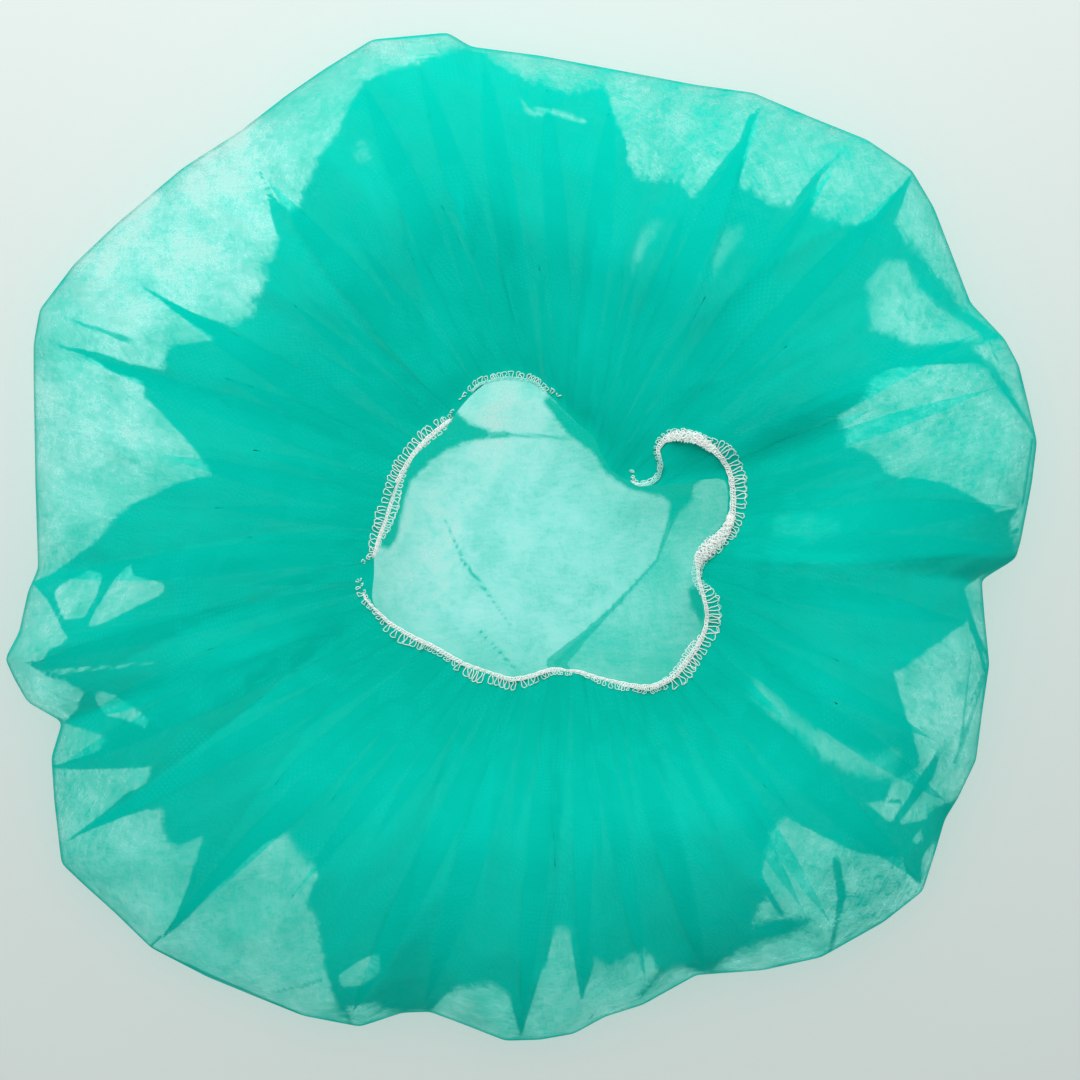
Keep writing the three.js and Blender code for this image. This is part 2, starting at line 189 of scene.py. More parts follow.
# where one layer's edge lies under the top cloth: crisp on its own line, and fading off to its right
LAYERS = [
    # x1, y1, x2, y2 on the plan, how far it fades mm, strength (below 0 the side is lighter)
    (405, 198, 438, 387, 14, 0.55), (462, 190, 472, 290, 6, -0.75), (493, 188, 474, 290, 9, 0.45), (582, 372, 603, 200, 13, -0.55),
    (684, 330, 752, 118, 7, 0.60), (705, 330, 830, 170, 9, 0.40), (640, 370, 905, 190, 12, 0.45), (640, 400, 860, 330, 14, 0.50),
    (740, 440, 985, 345, 16, 0.55), (745, 520, 1010, 430, 14, -0.30), (735, 560, 1000, 545, 22, 0.65), (725, 600, 960, 620, 14, -0.30),
    (700, 665, 900, 800, 16, 0.45), (672, 690, 830, 930, 14, -0.25), (640, 700, 700, 960, 16, 0.40), (600, 700, 610, 1000, 15, -0.30),
    (560, 690, 545, 1000, 14, 0.50), (500, 700, 480, 980, 14, -0.35), (470, 690, 395, 1000, 14, 0.35), (425, 660, 330, 960, 16, -0.20),
    (385, 640, 180, 920, 15, 0.45), (372, 610, 90, 830, 24, 0.80), (355, 590, 150, 745, 12, -0.45), (345, 572, 60, 700, 15, 0.55),
    (350, 555, 60, 645, 15, -0.20), (370, 520, 45, 575, 15, 0.35), (380, 480, 130, 440, 13, -0.30), (390, 455, 60, 330, 14, 0.35),
    (405, 430, 170, 300, 13, -0.35), (425, 405, 262, 185, 14, 0.40), (437, 387, 345, 110, 15, -0.30), (520, 360, 470, 70, 13, 0.30),
]

# where the crown is covered by the gathers' turned-in edge, seen through the mouth
FLOOR_GATHERS = [
    [(640, 465), (648, 484), (660, 493), (672, 503), (669, 525), (676, 516), (692, 498), (694, 485), (708, 474), (719, 466), (740, 440), (700, 405), (640, 415)],
    [(380, 545), (386, 512), (395, 482), (412, 452), (434, 428), (455, 410), (468, 424), (490, 431), (488, 437), (462, 441), (445, 449), (427, 462), (409, 481), (400, 513), (396, 536), (389, 548)],
    [(548, 394), (580, 424), (604, 440), (620, 462), (640, 478), (655, 484), (656, 494), (630, 488), (608, 472), (592, 450), (570, 434), (545, 402)],
    [(689, 590), (700, 588), (706, 612), (703, 624), (692, 604)],
]

# creases and a doubled strip in the crown cloth, seen through the mouth
FLOOR_CREASES = [
    (556, 664, 610, 612, 2.6, 1.5, 0.75), (610, 612, 657, 561, 1.5, 1.1, 0.7), (657, 561, 672, 520, 1.0, 1.6, 0.7),
    (672, 520, 690, 478, 2.2, 4.0, 0.9), (445, 520, 462, 560, 1.0, 1.5, 0.58), (462, 560, 486, 592, 1.5, 1.5, 0.62),
    (486, 592, 512, 628, 1.4, 0.8, 0.56), (480, 632, 514, 668, 1.0, 1.2, 0.66), (448, 437, 508, 434, 2.4, 2.4, 0.6),
    (508, 434, 582, 438, 2.2, 1.6, 0.5), (432, 470, 470, 444, 1.6, 1.2, 0.3), (540, 500, 560, 478, 1.0, 0.5, 0.2),
]

# ------------------------------------------------------- sampled curves ----
TURN = 3600
ANGLES = np.arange(TURN) * 2 * math.pi / TURN


def smooth_ring(values, degrees):
    if degrees <= 0:
        return values
    k = np.fft.rfftfreq(TURN, 1 / TURN)
    return np.fft.irfft(np.fft.rfft(values) * np.exp(-0.5 * (k * math.radians(degrees)) ** 2), TURN)


def around(rows, column, degrees):
    a = np.radians([r[0] for r in rows])
    v = np.array([r[column] for r in rows], float)
    return smooth_ring(np.interp(ANGLES, a, v, period=2 * math.pi), degrees)


def reach_of(points, centre, degrees):
    """Reach at each angle of a closed line of straight runs."""
    p = np.asarray(points) - centre
    q = np.roll(p, -1, 0)
    w = np.linspace(0, 1, 400, endpoint=False)[:, None]
    d = np.concatenate([a + (b - a) * w for a, b in zip(p, q)])
    bins = (np.arctan2(d[:, 1], d[:, 0]) % (2 * math.pi) / (2 * math.pi) * TURN).astype(int) % TURN
    out = np.zeros(TURN)
    np.maximum.at(out, bins, np.hypot(d[:, 0], d[:, 1]))
    full = out > 0
    return smooth_ring(np.interp(ANGLES, ANGLES[full], out[full], period=2 * math.pi), degrees)


EDGE_R = reach_of(plan(OUTLINE), MIDDLE, 0.35)
EDGE_Z = around(SIDES, 1, 6)
CREST_Z = around(SIDES, 2, 6)
MOUTH_R = around(MOUTH, 1, 1.2) * UNIT
MOUTH_Z = around(MOUTH, 2, 4)
MOUTH_CURL = around(MOUTH, 3, 3)


def at(values, a):
    x = np.mod(a, 2 * math.pi) / (2 * math.pi) * TURN
    i = np.floor(x).astype(int)
    f = x - i
    return values[i % TURN] * (1 - f) + values[(i + 1) % TURN] * f


CREST_AT = 0.60


def support(a, q):
    """Middle surface of the puffed top: a round the cap, q from the edge (0) to the mouth (1)."""
    outer = MIDDLE + at(EDGE_R, a)[..., None] * np.stack([np.cos(a), np.sin(a)], -1)
    inner = MOUTH_MIDDLE + at(MOUTH_R, a)[..., None] * np.stack([np.cos(a), np.sin(a)], -1)
    t = np.power(q, 1.45)
    run = inner - outer
    length = np.linalg.norm(run, axis=-1)
    bulge = np.sin(math.pi * np.clip((q - 0.68) / 0.32, 0, 1) ** 1.7) ** 1.6
    curl = at(MOUTH_CURL, a) * bulge
    xy = outer + run * (t + curl / length)[..., None]
    low, top, lip = at(EDGE_Z, a), at(CREST_Z, a), at(MOUTH_Z, a)
    rise = low + (top - low) * np.sin(np.clip(q / CREST_AT, 0, 1) * math.pi / 2)
    fall = top + (lip - top) * 0.5 * (1 - np.cos(math.pi * np.clip((q - CREST_AT) / (1 - CREST_AT), 0, 1)))
    z = np.where(q < CREST_AT, rise, fall) + curl * 0.75
    return np.concatenate([xy, z[..., None]], -1)


def support_normal(a, q):
    d = 0.004
    along = support(a + d, q) - support(a - d, q)
    up = support(a, np.minimum(q + d, 1)) - support(a, np.maximum(q - d, 0))
    n = np.cross(along, up)
    return n / np.linalg.norm(n, axis=-1, keepdims=True)


# plan place -> (angle, t), t being the straight share of the way from edge to mouth
GRID_A = np.radians(np.arange(0, 360, 0.5))
GRID_T = np.linspace(0, 1, 161)
_ga, _gt = np.meshgrid(GRID_A, GRID_T, indexing="ij")
_o = MIDDLE + at(EDGE_R, _ga)[..., None] * np.stack([np.cos(_ga), np.sin(_ga)], -1)
_i = MOUTH_MIDDLE + at(MOUTH_R, _ga)[..., None] * np.stack([np.cos(_ga), np.sin(_ga)], -1)
GRID_XY = (_o + (_i - _o) * _gt[..., None]).reshape(-1, 2)


def locate(xy):
    k = np.argmin(((GRID_XY - xy) ** 2).sum(1))
    return GRID_A[k // len(GRID_T)], GRID_T[k % len(GRID_T)]


# ------------------------------------------------------- folded top cloth ----
COLUMNS = 1024
TOP_ROWS = 58

# rows: nearly even along the cloth, a little closer near the mouth and the edge
_q = np.linspace(0, 1, 2001)
_line = support(np.full(2001, 1.2), _q)
_len = np.concatenate([[0], np.cumsum(np.linalg.norm(np.diff(_line, axis=0), axis=1))])
_share = _len / _len[-1]
_even = np.linspace(0, 1, TOP_ROWS + 1)
ROW_Q = np.interp(_even - 0.035 * np.sin(2 * math.pi * _even), _share, _q)
ROW_T = ROW_Q ** 1.45
ROW_LEN = np.interp(ROW_Q, _q, _len)

pleats = []
for x, y, rate, widest, lean in PLEATS:
    a, t = locate(plan((x, y)))
    pleats.append([a, max(t, 0.004), rate, widest, lean])
# finer pleats start between the main ones, nearer the mouth
main = sorted(p[0] for p in pleats)
for k, a0 in enumerate(main):
    a1 = main[(k + 1) % len(main)] + (2 * math.pi if k + 1 == len(main) else 0)
    gap = math.degrees(a1 - a0)
    n = 0 if gap < 5.5 else 1 if gap < 13 else 2 if gap < 20 else 3
    for j in range(n):
        f = (j + 1) / (n + 1) + rng.uniform(-0.08, 0.08)
        pleats.append([a0 + (a1 - a0) * f, rng.uniform(0.42, 0.62), rng.uniform(0.28, 0.42), rng.uniform(9, 13), rng.choice([-1, 1])])
pleats.sort(key=lambda p: p[0] % (2 * math.pi))
P_A = np.array([p[0] % (2 * math.pi) for p in pleats])
P_T = np.array([p[1] for p in pleats])
P_RATE = np.array([p[2] for p in pleats])
P_WIDE = np.array([p[3] for p in pleats])
# the lean is shared by neighbours, so that pleats lie like shingles
P_LEAN = np.where(np.sin(P_A * 1.0 + 0.9) > 0, 1.0, -1.0)
COUNT = len(pleats)
WANDER = rng.uniform(-1, 1, COUNT) * 0.035

row_xy = support(ANGLES[::20][None, :], ROW_Q[:, None])[..., :2]
ROUND = np.linalg.norm(np.roll(row_xy, -1, 1) - row_xy, axis=-1).sum(1) / (2 * math.pi)  # mm a radian
RADIAL = 112.0


def pleat_edges(t, mean):
    centre = P_A + WANDER * np.clip((t - P_T) / 0.7, 0, 1) ** 1.5
    run = np.maximum(t - P_T, 0) * RADIAL
    linear = P_RATE * run
    near = np.roll(centre, -1)
    near[-1] += 2 * math.pi
    back = np.roll(centre, 1)
    back[0] -= 2 * math.pi
    pitch = (near - back) / 2 * mean
    cap = np.minimum(P_WIDE, pitch * 1.45)
    width = cap * (1 - np.exp(-linear / cap))
    return centre, width / mean, linear


def fold_row(j, first_anchor=None):
    t, mean = ROW_T[j], ROUND[j]
    centre, width, linear = pleat_edges(t, mean)
    right, left = centre + width / 2, centre - width / 2
    # cloth length up to each crease
    s_right = np.empty(COUNT)
    s_left = np.empty(COUNT)
    s = 0.0
    last = 0.0
    for k in range(COUNT):
        s += right[k] - last
        s_right[k] = s
        s += right[k] - left[k]
        s_left[k] = s
        last = left[k]
    total = s + 2 * math.pi - last
    anchors = (s_right + s_left) / 2
    height = np.minimum(0.05 * width * mean, 0.45)
    knots_s = np.stack([s_right, s_left], 1).ravel()
    knots_a = np.stack([right, left], 1).ravel()
    knots_z = np.stack([P_LEAN * height / 2, -P_LEAN * height / 2], 1).ravel()
    return t, mean, total, anchors, knots_s, knots_a, knots_z


rows = [fold_row(j) for j in range(TOP_ROWS + 1)]
# columns follow the pleats: their share is set where the cloth is most folded
_, _, total_in, anchors_in, *_ = rows[-1]
_, _, total_out, anchors_out, *_ = rows[0]
share = 0.72 * anchors_in / total_in + 0.28 * anchors_out / total_out
column_of = share * COLUMNS

top = np.empty((TOP_ROWS + 1, COLUMNS, 3))
top_a = np.empty((TOP_ROWS + 1, COLUMNS))
top_s = np.empty((TOP_ROWS + 1, COLUMNS))
columns = np.arange(COLUMNS)
waves = [(rng.integers(120, 230), rng.uniform(0, 6.28), rng.uniform(-6, 6), rng.uniform(0.5, 1)) for _ in range(5)]
broad = [(rng.integers(9, 26), rng.uniform(0, 6.28), rng.uniform(-4, 4), rng.uniform(0.5, 1)) for _ in range(5)]
tight = [(rng.integers(30, 66), rng.uniform(0, 6.28), rng.uniform(-5, 5), rng.uniform(0.5, 1)) for _ in range(6)]


def soft_height(a, t):
    """Broad rolls of the puffed cloth, and tighter gathers towards the mouth."""
    rolls = sum(m_ * np.sin(n_ * a + p_ + d_ * t * 2) for n_, p_, d_, m_ in broad) * 0.28 * np.clip(t * 5, 0, 1) * (1 - 0.45 * t)
    drawn = sum(m_ * np.sin(n_ * a + p_ + d_ * t * 2) for n_, p_, d_, m_ in tight) * 0.07 * np.clip((t - 0.22) / 0.6, 0, 1)
    return rolls + drawn


def crumple(u, v, size, count, seed):
    """Facets and soft ridges, as thin stiff cloth crumples: squared distance to the nearest of scattered centres."""
    r = np.random.default_rng(seed)
    pts = r.uniform(-1, 1, (count, 2)) * 300
    out = np.empty(u.shape)
    flat_u, flat_v = u.ravel(), v.ravel()
    res = np.empty(len(flat_u))
    for i in range(0, len(flat_u), 8192):
        d = (flat_u[i:i + 8192, None] - pts[:, 0]) ** 2 + (flat_v[i:i + 8192, None] - pts[:, 1]) ** 2
        res[i:i + 8192] = d.min(1)
    out[...] = res.reshape(u.shape)
    return np.minimum(out / size ** 2, 1.6)


for j, (t, mean, total, anchors, ks, ka, kz) in enumerate(rows):
    # knots run on past both ends of the ring
    ks3 = np.concatenate([ks - total, ks, ks + total])
    ka3 = np.concatenate([ka - 2 * math.pi, ka, ka + 2 * math.pi])
    kz3 = np.concatenate([kz, kz, kz])
    cx = np.concatenate([column_of - COLUMNS, column_of, column_of + COLUMNS])
    cs = np.concatenate([anchors - total, anchors, anchors + total])
    s = np.interp(columns, cx, cs)
    turn = 0.75 / mean                      # half the radius of a crease, mm
    a = np.zeros(COLUMNS)
    z = np.zeros(COLUMNS)
    for f, w in ((-1.5, 0.12), (-0.75, 0.24), (0, 0.28), (0.75, 0.24), (1.5, 0.12)):
        a += w * np.interp(s + f * turn, ks3, ka3)
        z += w * np.interp(s + f * turn, ks3, kz3)
    q = np.full(COLUMNS, ROW_Q[j])
    c = columns / COLUMNS * 2 * math.pi
    fine = sum(m * np.sin(n * c + p + d * t * 3) for n, p, d, m in waves) * 0.12 * t ** 3
    slow = soft_height(a, t)
    top_a[j], top_s[j] = a, s * mean
    top[j] = support(a, q) + support_normal(a, q) * (z + fine + slow)[:, None]

# crumples over the open cloth near the edge, in the cloth's own flat layout
flat_r = 157 + ROW_LEN
angle_c = columns / COLUMNS * 2 * math.pi
FU = flat_r[:, None] * np.cos(angle_c)
FV = flat_r[:, None] * np.sin(angle_c)
dent = crumple(FU, FV, 20, 760, 3) - 0.6 * crumple(FU, FV, 31, 330, 5) + 0.35 * crumple(FU, FV, 10, 2600, 8)
fade = (np.clip(ROW_T / 0.10, 0, 1) * (1 - 0.65 * np.clip(ROW_T / 0.8, 0, 1)))[:, None]
top[..., 2] += (dent - dent.mean()) * 1.5 * fade

# ------------------------------------------------------------ underside ----
FLAT = 0.84
EDGE_ROWS = 6
under = []            # (ring of points, how many columns)
first = top_a[0]
p_edge = np.linspace(0, math.pi / 2, EDGE_ROWS + 1)[::-1][1:]
edge_r, edge_z = at(EDGE_R, first), top[0, :, 2]
direction = np.stack([np.cos(first), np.sin(first)], -1)
base_z = 0.45
for p in p_edge:
    f = FLAT + (1 - FLAT) * math.sin(p)
    z = base_z + (edge_z - base_z) * (1 - math.cos(p))
    under.append(np.concatenate([MIDDLE + direction * (edge_r * f)[:, None], z[:, None]], -1))
UNDER_FRACTIONS = list(np.linspace(FLAT, 0.46, 13)[1:]) + list(np.linspace(0.46, 0.02, 50)[1:])
half = slice(None, None, 2)
quarter = slice(None, None, 4)
eighth = slice(None, None, 8)
sixteenth = slice(None, None, 16)


def ripple(x, y):
    w = 0.0
    for k, (sx, sy, ph) in enumerate(((0.061, 0.043, 0.3), (-0.052, 0.088, 1.7), (0.113, -0.037, 4.1), (0.031, 0.131, 2.2))):
        w = w + np.sin(sx * x + sy * y + ph + 0.8 * np.sin(0.05 * x - 0.07 * y + k))
    return w * 0.11 + 0.42


for f in UNDER_FRACTIONS:
    step = half if f > 0.46 else quarter if f > 0.12 else eighth if f > 0.05 else sixteenth
    xy = MIDDLE + direction[step] * (edge_r[step] * f)[:, None]
    z = np.full(len(xy), base_z) + ripple(xy[:, 0], xy[:, 1]) * min(1, (FLAT - f) * 10)
    under.append(np.concatenate([xy, z[:, None]], -1))


# ---------------------------------------------------------- cloth marks ----
def inside_distance(points, polygon):
    """Distance in mm to a polygon's line, positive inside it."""
    poly = plan(polygon).astype(np.float32)
    nxt = np.roll(poly, -1, 0)
    e = nxt - poly
    out = np.empty(len(points), np.float32)
    for i in range(0, len(points), 6000):
        p = points[i:i + 6000, None, :].astype(np.float32)
        w = p - poly
        t = np.clip((w * e).sum(-1) / (e * e).sum(-1), 0, 1)
        d = np.linalg.norm(w - e * t[..., None], axis=-1).min(1)
        y0, y1 = poly[:, 1], nxt[:, 1]
        py, px_ = p[..., 1], p[..., 0]
        hit = (y0 > py) != (y1 > py)
        with np.errstate(divide="ignore", invalid="ignore"):
            cross = (nxt[:, 0] - poly[:, 0]) * (py - y0) / (y1 - y0) + poly[:, 0]
        odd = (hit & (px_ < cross)).sum(1) % 2 == 1
        out[i:i + 6000] = np.where(odd, d, -d)
    return out


def edge_softness(points, polygon):
    """0 beside a line that runs in towards the mouth, as a fold does, to 1 beside one that runs round the cap, where the web only thickens."""
    poly = plan(polygon)
    nxt = np.roll(poly, -1, 0)
    e = nxt - poly
    mid = (poly + nxt) / 2 - MOUTH_MIDDLE
    length = np.linalg.norm(e, axis=1)
    inward = np.abs((e * mid).sum(1)) / (length * np.linalg.norm(mid, axis=1))
    score = np.clip((0.92 - inward) / 0.40, 0, 1)
    out = np.empty(len(points))
    for i in range(0, len(points), 6000):
        p = points[i:i + 6000, None, :]
        w = p - poly
        t = np.clip((w * e).sum(-1) / (e * e).sum(-1), 0, 1)
        d = np.linalg.norm(w - e * t[..., None], axis=-1)
        pull = np.exp(-(d - d.min(1, keepdims=True)) / 1.2)
        out[i:i + 6000] = (pull * score).sum(1) / pull.sum(1)
    return out


def crease_distance(points, x1, y1, x2, y2, w1, w2):
    a, b = plan((x1, y1)), plan((x2, y2))
    e = b - a
    w = points - a
    t = np.clip((w @ e) / (e @ e), 0, 1)
    d = np.linalg.norm(w - t[:, None] * e, axis=-1)
    return (w1 + (w2 - w1) * t) / 2 - d


top_xy = top[..., :2].reshape(-1, 2)
gather = inside_distance(top_xy, GATHERS)
soften = np.zeros(len(top_xy))
beside = np.abs(gather) < 14
soften[beside] = edge_softness(top_xy[beside], GATHERS)
for place, wide, less in (((935, 705), 150, 0.85), ((95, 650), 115, 0.75), ((830, 850), 60, 0.5), ((272, 192), 40, 0.9), ((330, 130), 70, 0.45),
                          ((760, 120), 40, 0.6), ((900, 190), 50, 0.6), ((840, 160), 30, 0.6), ((175, 315), 60, 0.5), ((200, 430), 70, 0.35)):
    soften *= 1 - less * np.exp(-(np.linalg.norm(top_xy - plan(place), axis=1) / (wide * UNIT)) ** 2)
worn = np.zeros(len(top_xy))
for hole, (soft, share_) in zip(THIN, THIN_SOFT):
    if soft < 1.5:              # a crisp window between two folds
        into = inside_distance(top_xy, hole)
        gather = np.minimum(gather, -into)
        soften *= np.clip(np.abs(into) / 6, 0.12, 1)
        continue
    worn = np.maximum(worn, share_ * np.clip(0.35 + inside_distance(top_xy, hole) / soft, 0, 1))
line = np.full(len(top_xy), 0.0)
for x1, y1, x2, y2, w1, w2, depth in CREASES:
    d = crease_distance(top_xy, x1, y1, x2, y2, w1, w2)
    if depth >= 0.8:            # folded over on itself, as dense as the gathers
        gather = np.maximum(gather, d)
        soften *= np.clip(np.abs(d) / 5, 0.1, 1)
        continue
    line = np.maximum(line, depth * np.clip(0.5 + d / 0.8, 0, 1))
# the web is more mottled in some parts of the cap than in others
mottle = np.full(len(top_xy), 0.95)
for place, wide, more in (((700, 150), 150, 0.65), ((930, 400), 90, 0.55), ((890, 890), 80, 0.75), ((90, 790), 60, 0.55), ((930, 720), 60, 0.2),
                          ((330, 230), 60, 0.3), ((240, 950), 110, -0.35), ((140, 870), 60, -0.15), ((560, 1000), 130, -0.25), ((60, 470), 60, -0.2)):
    mottle += more * np.exp(-(np.linalg.norm(top_xy - plan(place), axis=1) / (wide * UNIT)) ** 2)
# how many pleats lie over each place, as a smooth share
deep = np.zeros((TOP_ROWS + 1, COLUMNS))
for j in range(TOP_ROWS + 1):
    centre, width, linear = pleat_edges(ROW_T[j], ROUND[j])
    off = np.abs((top_a[j][:, None] - centre + math.pi) % (2 * math.pi) - math.pi)
    deep[j] = np.clip((width / 2 - off) * ROUND[j] / 0.8 + 0.5, 0, 1).sum(1)
deep = np.clip(deep / 4.0, 0, 1).ravel()
near_mouth = np.repeat(np.clip((ROW_T - 0.45) / 0.55, 0, 1), COLUMNS)
rim_line = np.repeat(np.clip(1 - ROW_LEN / 2.2, 0, 1), COLUMNS)

under_xy = np.concatenate(under)[:, :2]
floor_line = np.zeros(len(under_xy))
for x1, y1, x2, y2, w1, w2, depth in FLOOR_CREASES:
    d = crease_distance(under_xy, x1, y1, x2, y2, w1, w2)
    floor_line = np.maximum(floor_line, depth * np.clip(0.5 + d / 1.2, 0, 1))


def cloudiness(x, y, shortest, longest, seed, n=26):
    """Soft uneven patches between two sizes, mm, about 0 to 1."""
    r = np.random.default_rng(seed)
    w = np.zeros_like(x)
    for _ in range(n):
        size = math.exp(r.uniform(math.log(shortest), math.log(longest)))
        turn_, phase_ = r.uniform(0, 2 * math.pi, 2)
        w += np.sin((x * math.cos(turn_) + y * math.sin(turn_)) * 2 * math.pi / size + phase_ + 1.2 * np.sin(phase_ * 3 + x / size * 1.3))
    return 0.5 + w / math.sqrt(n) * 0.34


def pale_web_and_light_at(xy):
    out = np.zeros(len(xy))
    for x, y, reach_, share_ in PALE_WEB_AND_PAINTED_LIGHT:
        d = np.linalg.norm(xy - plan((x, y)), axis=1) / (reach_ * UNIT)
        out += share_ * np.exp(-1.6 * d ** 2)
    return out


# right of the long crease the crown cloth is doubled
double = inside_distance(under_xy, [(556, 664), (610, 612), (657, 561), (672, 520), (690, 478), (760, 440), (780, 620), (700, 720), (600, 720)])
crease_widths = [((556, 664), 3.0), ((570, 652), 2.2), ((585, 638), 1.2), ((610, 612), 0.60), ((640, 582), 0.38), ((657, 561), 0.38), ((668, 535), 0.6), ((672, 520), 1.1)]
away = np.array([np.linalg.norm(under_xy - plan(c), axis=1) for c, _ in crease_widths])
pull = 1 / (away + 2.0) ** 3
crease_half = (pull * np.array([w for _, w in crease_widths])[:, None]).sum(0) / pull.sum(0)

under_dense = np.max([inside_distance(under_xy, p) for p in FLOOR_GATHERS], 0)


def layer_tone(points):
    """Darker (above 0) or lighter where a gathered layer's edge lies just under the top cloth."""
    tone = np.zeros(len(points))
    rows = list(LAYERS)
    for _ in range(46):
        a = rng.uniform(0, 2 * math.pi)
        b = a + rng.uniform(-0.10, 0.10)
        near, far = rng.uniform(0.02, 0.35), rng.uniform(0.45, 0.95)
        ends = []
        for angle, share in ((a, near), (b, far)):
            m_, e_ = MOUTH_MIDDLE + at(MOUTH_R, angle) * np.array([math.cos(angle), math.sin(angle)]), MIDDLE + at(EDGE_R, angle) * np.array([math.cos(angle), math.sin(angle)])
            ends.append(m_ + (e_ - m_) * share)
        strength = rng.uniform(0.08, 0.24) * (1 if rng.uniform() < 0.6 else -1)
        rows.append((*ends[0], *ends[1], rng.uniform(6, 14), strength))
    for k, (x1, y1, x2, y2, fade, strength) in enumerate(rows):
        p1, p2 = (plan((x1, y1)), plan((x2, y2))) if k < len(LAYERS) else (np.array([x1, y1]), np.array([x2, y2]))
        e = p2 - p1
        length = np.linalg.norm(e)
        u = ((points - p1) @ e) / length ** 2
        bow = math.sin(k * 2.4) * 0.035 * length * np.sin(math.pi * np.clip(u, 0, 1))
        d = ((points - p1) @ np.array([e[1], -e[0]])) / length + bow
        ends = np.clip(u / 0.18 + 0.3, 0, 1) * np.clip((1 - u) / 0.35 + 0.05, 0, 1)
        taper = fade * (0.25 + 0.75 * np.clip(u, 0, 1))
        inside = np.clip(d / 0.5 + 0.5, 0, 1) * np.exp(-np.maximum(d, 0) / taper)
        tone += strength * inside * ends * ends * (3 - 2 * ends)
    return tone


tone = layer_tone(top_xy)

# ------------------------------------------------------------- the mesh ----
rings = [top[j] for j in range(TOP_ROWS, -1, -1)] + under      # from the mouth down and in
sizes = [len(r) for r in rings]
starts = np.concatenate([[0], np.cumsum(sizes)])
verts = np.concatenate(rings)
faces = []
for k in range(len(rings) - 1):
    n, m = sizes[k], sizes[k + 1]
    a0, b0 = starts[k], starts[k + 1]
    if n == m:
        i = np.arange(n)
        i2 = (i + 1) % n
        faces += np.stack([a0 + i, b0 + i, b0 + i2, a0 + i2], 1).tolist()
    else:
        for i in range(m):
            i2 = (i + 1) % m
            f0, f1, f2 = a0 + 2 * i, a0 + 2 * i + 1, a0 + (2 * i + 2) % n
            faces += [[f0, b0 + i, f1], [f1, b0 + i, b0 + i2], [f1, b0 + i2, f2]]
last = starts[-2]
centre_index = len(verts)
verts = np.concatenate([verts, [[MIDDLE[0], MIDDLE[1], base_z + 0.42]]])
for i in range(sizes[-1]):
    faces.append([last + i, centre_index, last + (i + 1) % sizes[-1]])

mesh = bpy.data.meshes.new("cap_cloth_folded")
mesh.from_pydata((verts / 1000).tolist(), [], faces)
mesh.polygons.foreach_set("use_smooth", np.ones(len(mesh.polygons), bool))
N = len(verts)
flip = (TOP_ROWS + 1) * COLUMNS


def to_rings(values):
    return values.reshape(TOP_ROWS + 1, COLUMNS)[::-1].ravel()


def put(name, top_values, under_values):
    v = np.zeros(N, np.float32)
    v[:flip] = to_rings(np.asarray(top_values, np.float32))
    v[flip:flip + len(under_xy)] = under_values
    v[-1] = v[-2]
    att = mesh.attributes.new(name, "FLOAT", "POINT")
    att.data.foreach_set("value", v)


put("gather", gather, -12.0)
put("worn", worn, 0.0)
put("mottle", mottle, 0.9)
put("soften", soften, 0.0)
put("from_edge", inside_distance(top_xy, OUTLINE), inside_distance(under_xy, OUTLINE))
# pale: where the web is thinnest, and painted light on the crown floor in the mouth
put("pale", pale_web_and_light_at(top_xy), pale_web_and_light_at(under_xy))
put("crease_half", np.zeros(flip), crease_half)
put("line", line, floor_line)
put("deep", deep, 0.0)
put("near_mouth", near_mouth, 0.0)
put("crown", np.zeros(flip), 1.0)
put("tone", tone, 0.0)
put("under_dense", np.full(flip, -20.0), under_dense)
put("far", np.zeros(flip), np.clip((np.linalg.norm(under_xy - MOUTH_MIDDLE, axis=1) - 62) / 26, 0, 1))
put("double", np.full(flip, -60.0), double)

# the cloth's flat cut, a disc, is its map: 1 is 600 mm
flat_xy = np.zeros((N, 2))
for k in range(TOP_ROWS + 1):
    j = TOP_ROWS - k
    flat_xy[starts[k]:starts[k + 1], 0] = flat_r[j] * np.cos(angle_c)
    flat_xy[starts[k]:starts[k + 1], 1] = flat_r[j] * np.sin(angle_c)
fr = list(FLAT + (1 - FLAT) * np.sin(p_edge)) + UNDER_FRACTIONS
for k, ring in enumerate(under):
    n = len(ring)
    a = angle_c[::COLUMNS // n]
    r = 157 * fr[k]
    i = starts[TOP_ROWS + 1 + k]
    flat_xy[i:i + n] = np.stack([r * np.cos(a), r * np.sin(a)], -1)
cloud_mark = mesh.attributes.new("cloud", "FLOAT", "POINT")
cloud_mark.data.foreach_set("value", cloudiness(flat_xy[:, 0], flat_xy[:, 1], 9, 48, 4).astype(np.float32))
uv = mesh.uv_layers.new(name="OFBake")
loop_vertex = np.empty(len(mesh.loops), np.int32)
mesh.loops.foreach_get("vertex_index", loop_vertex)
uv.data.foreach_set("uv", (0.5 + flat_xy[loop_vertex] / 600).astype(np.float32).ravel())
mesh.update()

# the creases of the gathers are pressed flat, so light meets them as it meets the
# cloth they lie in: their corners carry the direction of the puffed surface
step_a = 0.004
rows_q = np.repeat(ROW_Q[:, None], COLUMNS, 1)
rows_t = np.repeat(ROW_T[:, None], COLUMNS, 1)
across = support(top_a + step_a, rows_q) - support(top_a - step_a, rows_q)
across_mm = np.linalg.norm(across, axis=-1, keepdims=True)
slope = ((soft_height(top_a + step_a, rows_t) - soft_height(top_a - step_a, rows_t))[..., None]) / across_mm
near = np.clip((rows_t - 0.55) / 0.35, 0, 1)
lay = support_normal(top_a, rows_q) - slope * (1 - 0.75 * near[..., None]) * across / across_mm
lay[..., 2] += 0.12 + 0.55 * near
lay[..., 2] *= 1.4
lay[..., 2] = np.maximum(lay[..., 2], 1.15 * np.hypot(lay[..., 0], lay[..., 1]) * (1 - 0.35 * near))
lay /= np.linalg.norm(lay, axis=-1, keepdims=True)
vertex_n = np.empty(N * 3, np.float32)
mesh.vertex_normals.foreach_get("vector", vertex_n)
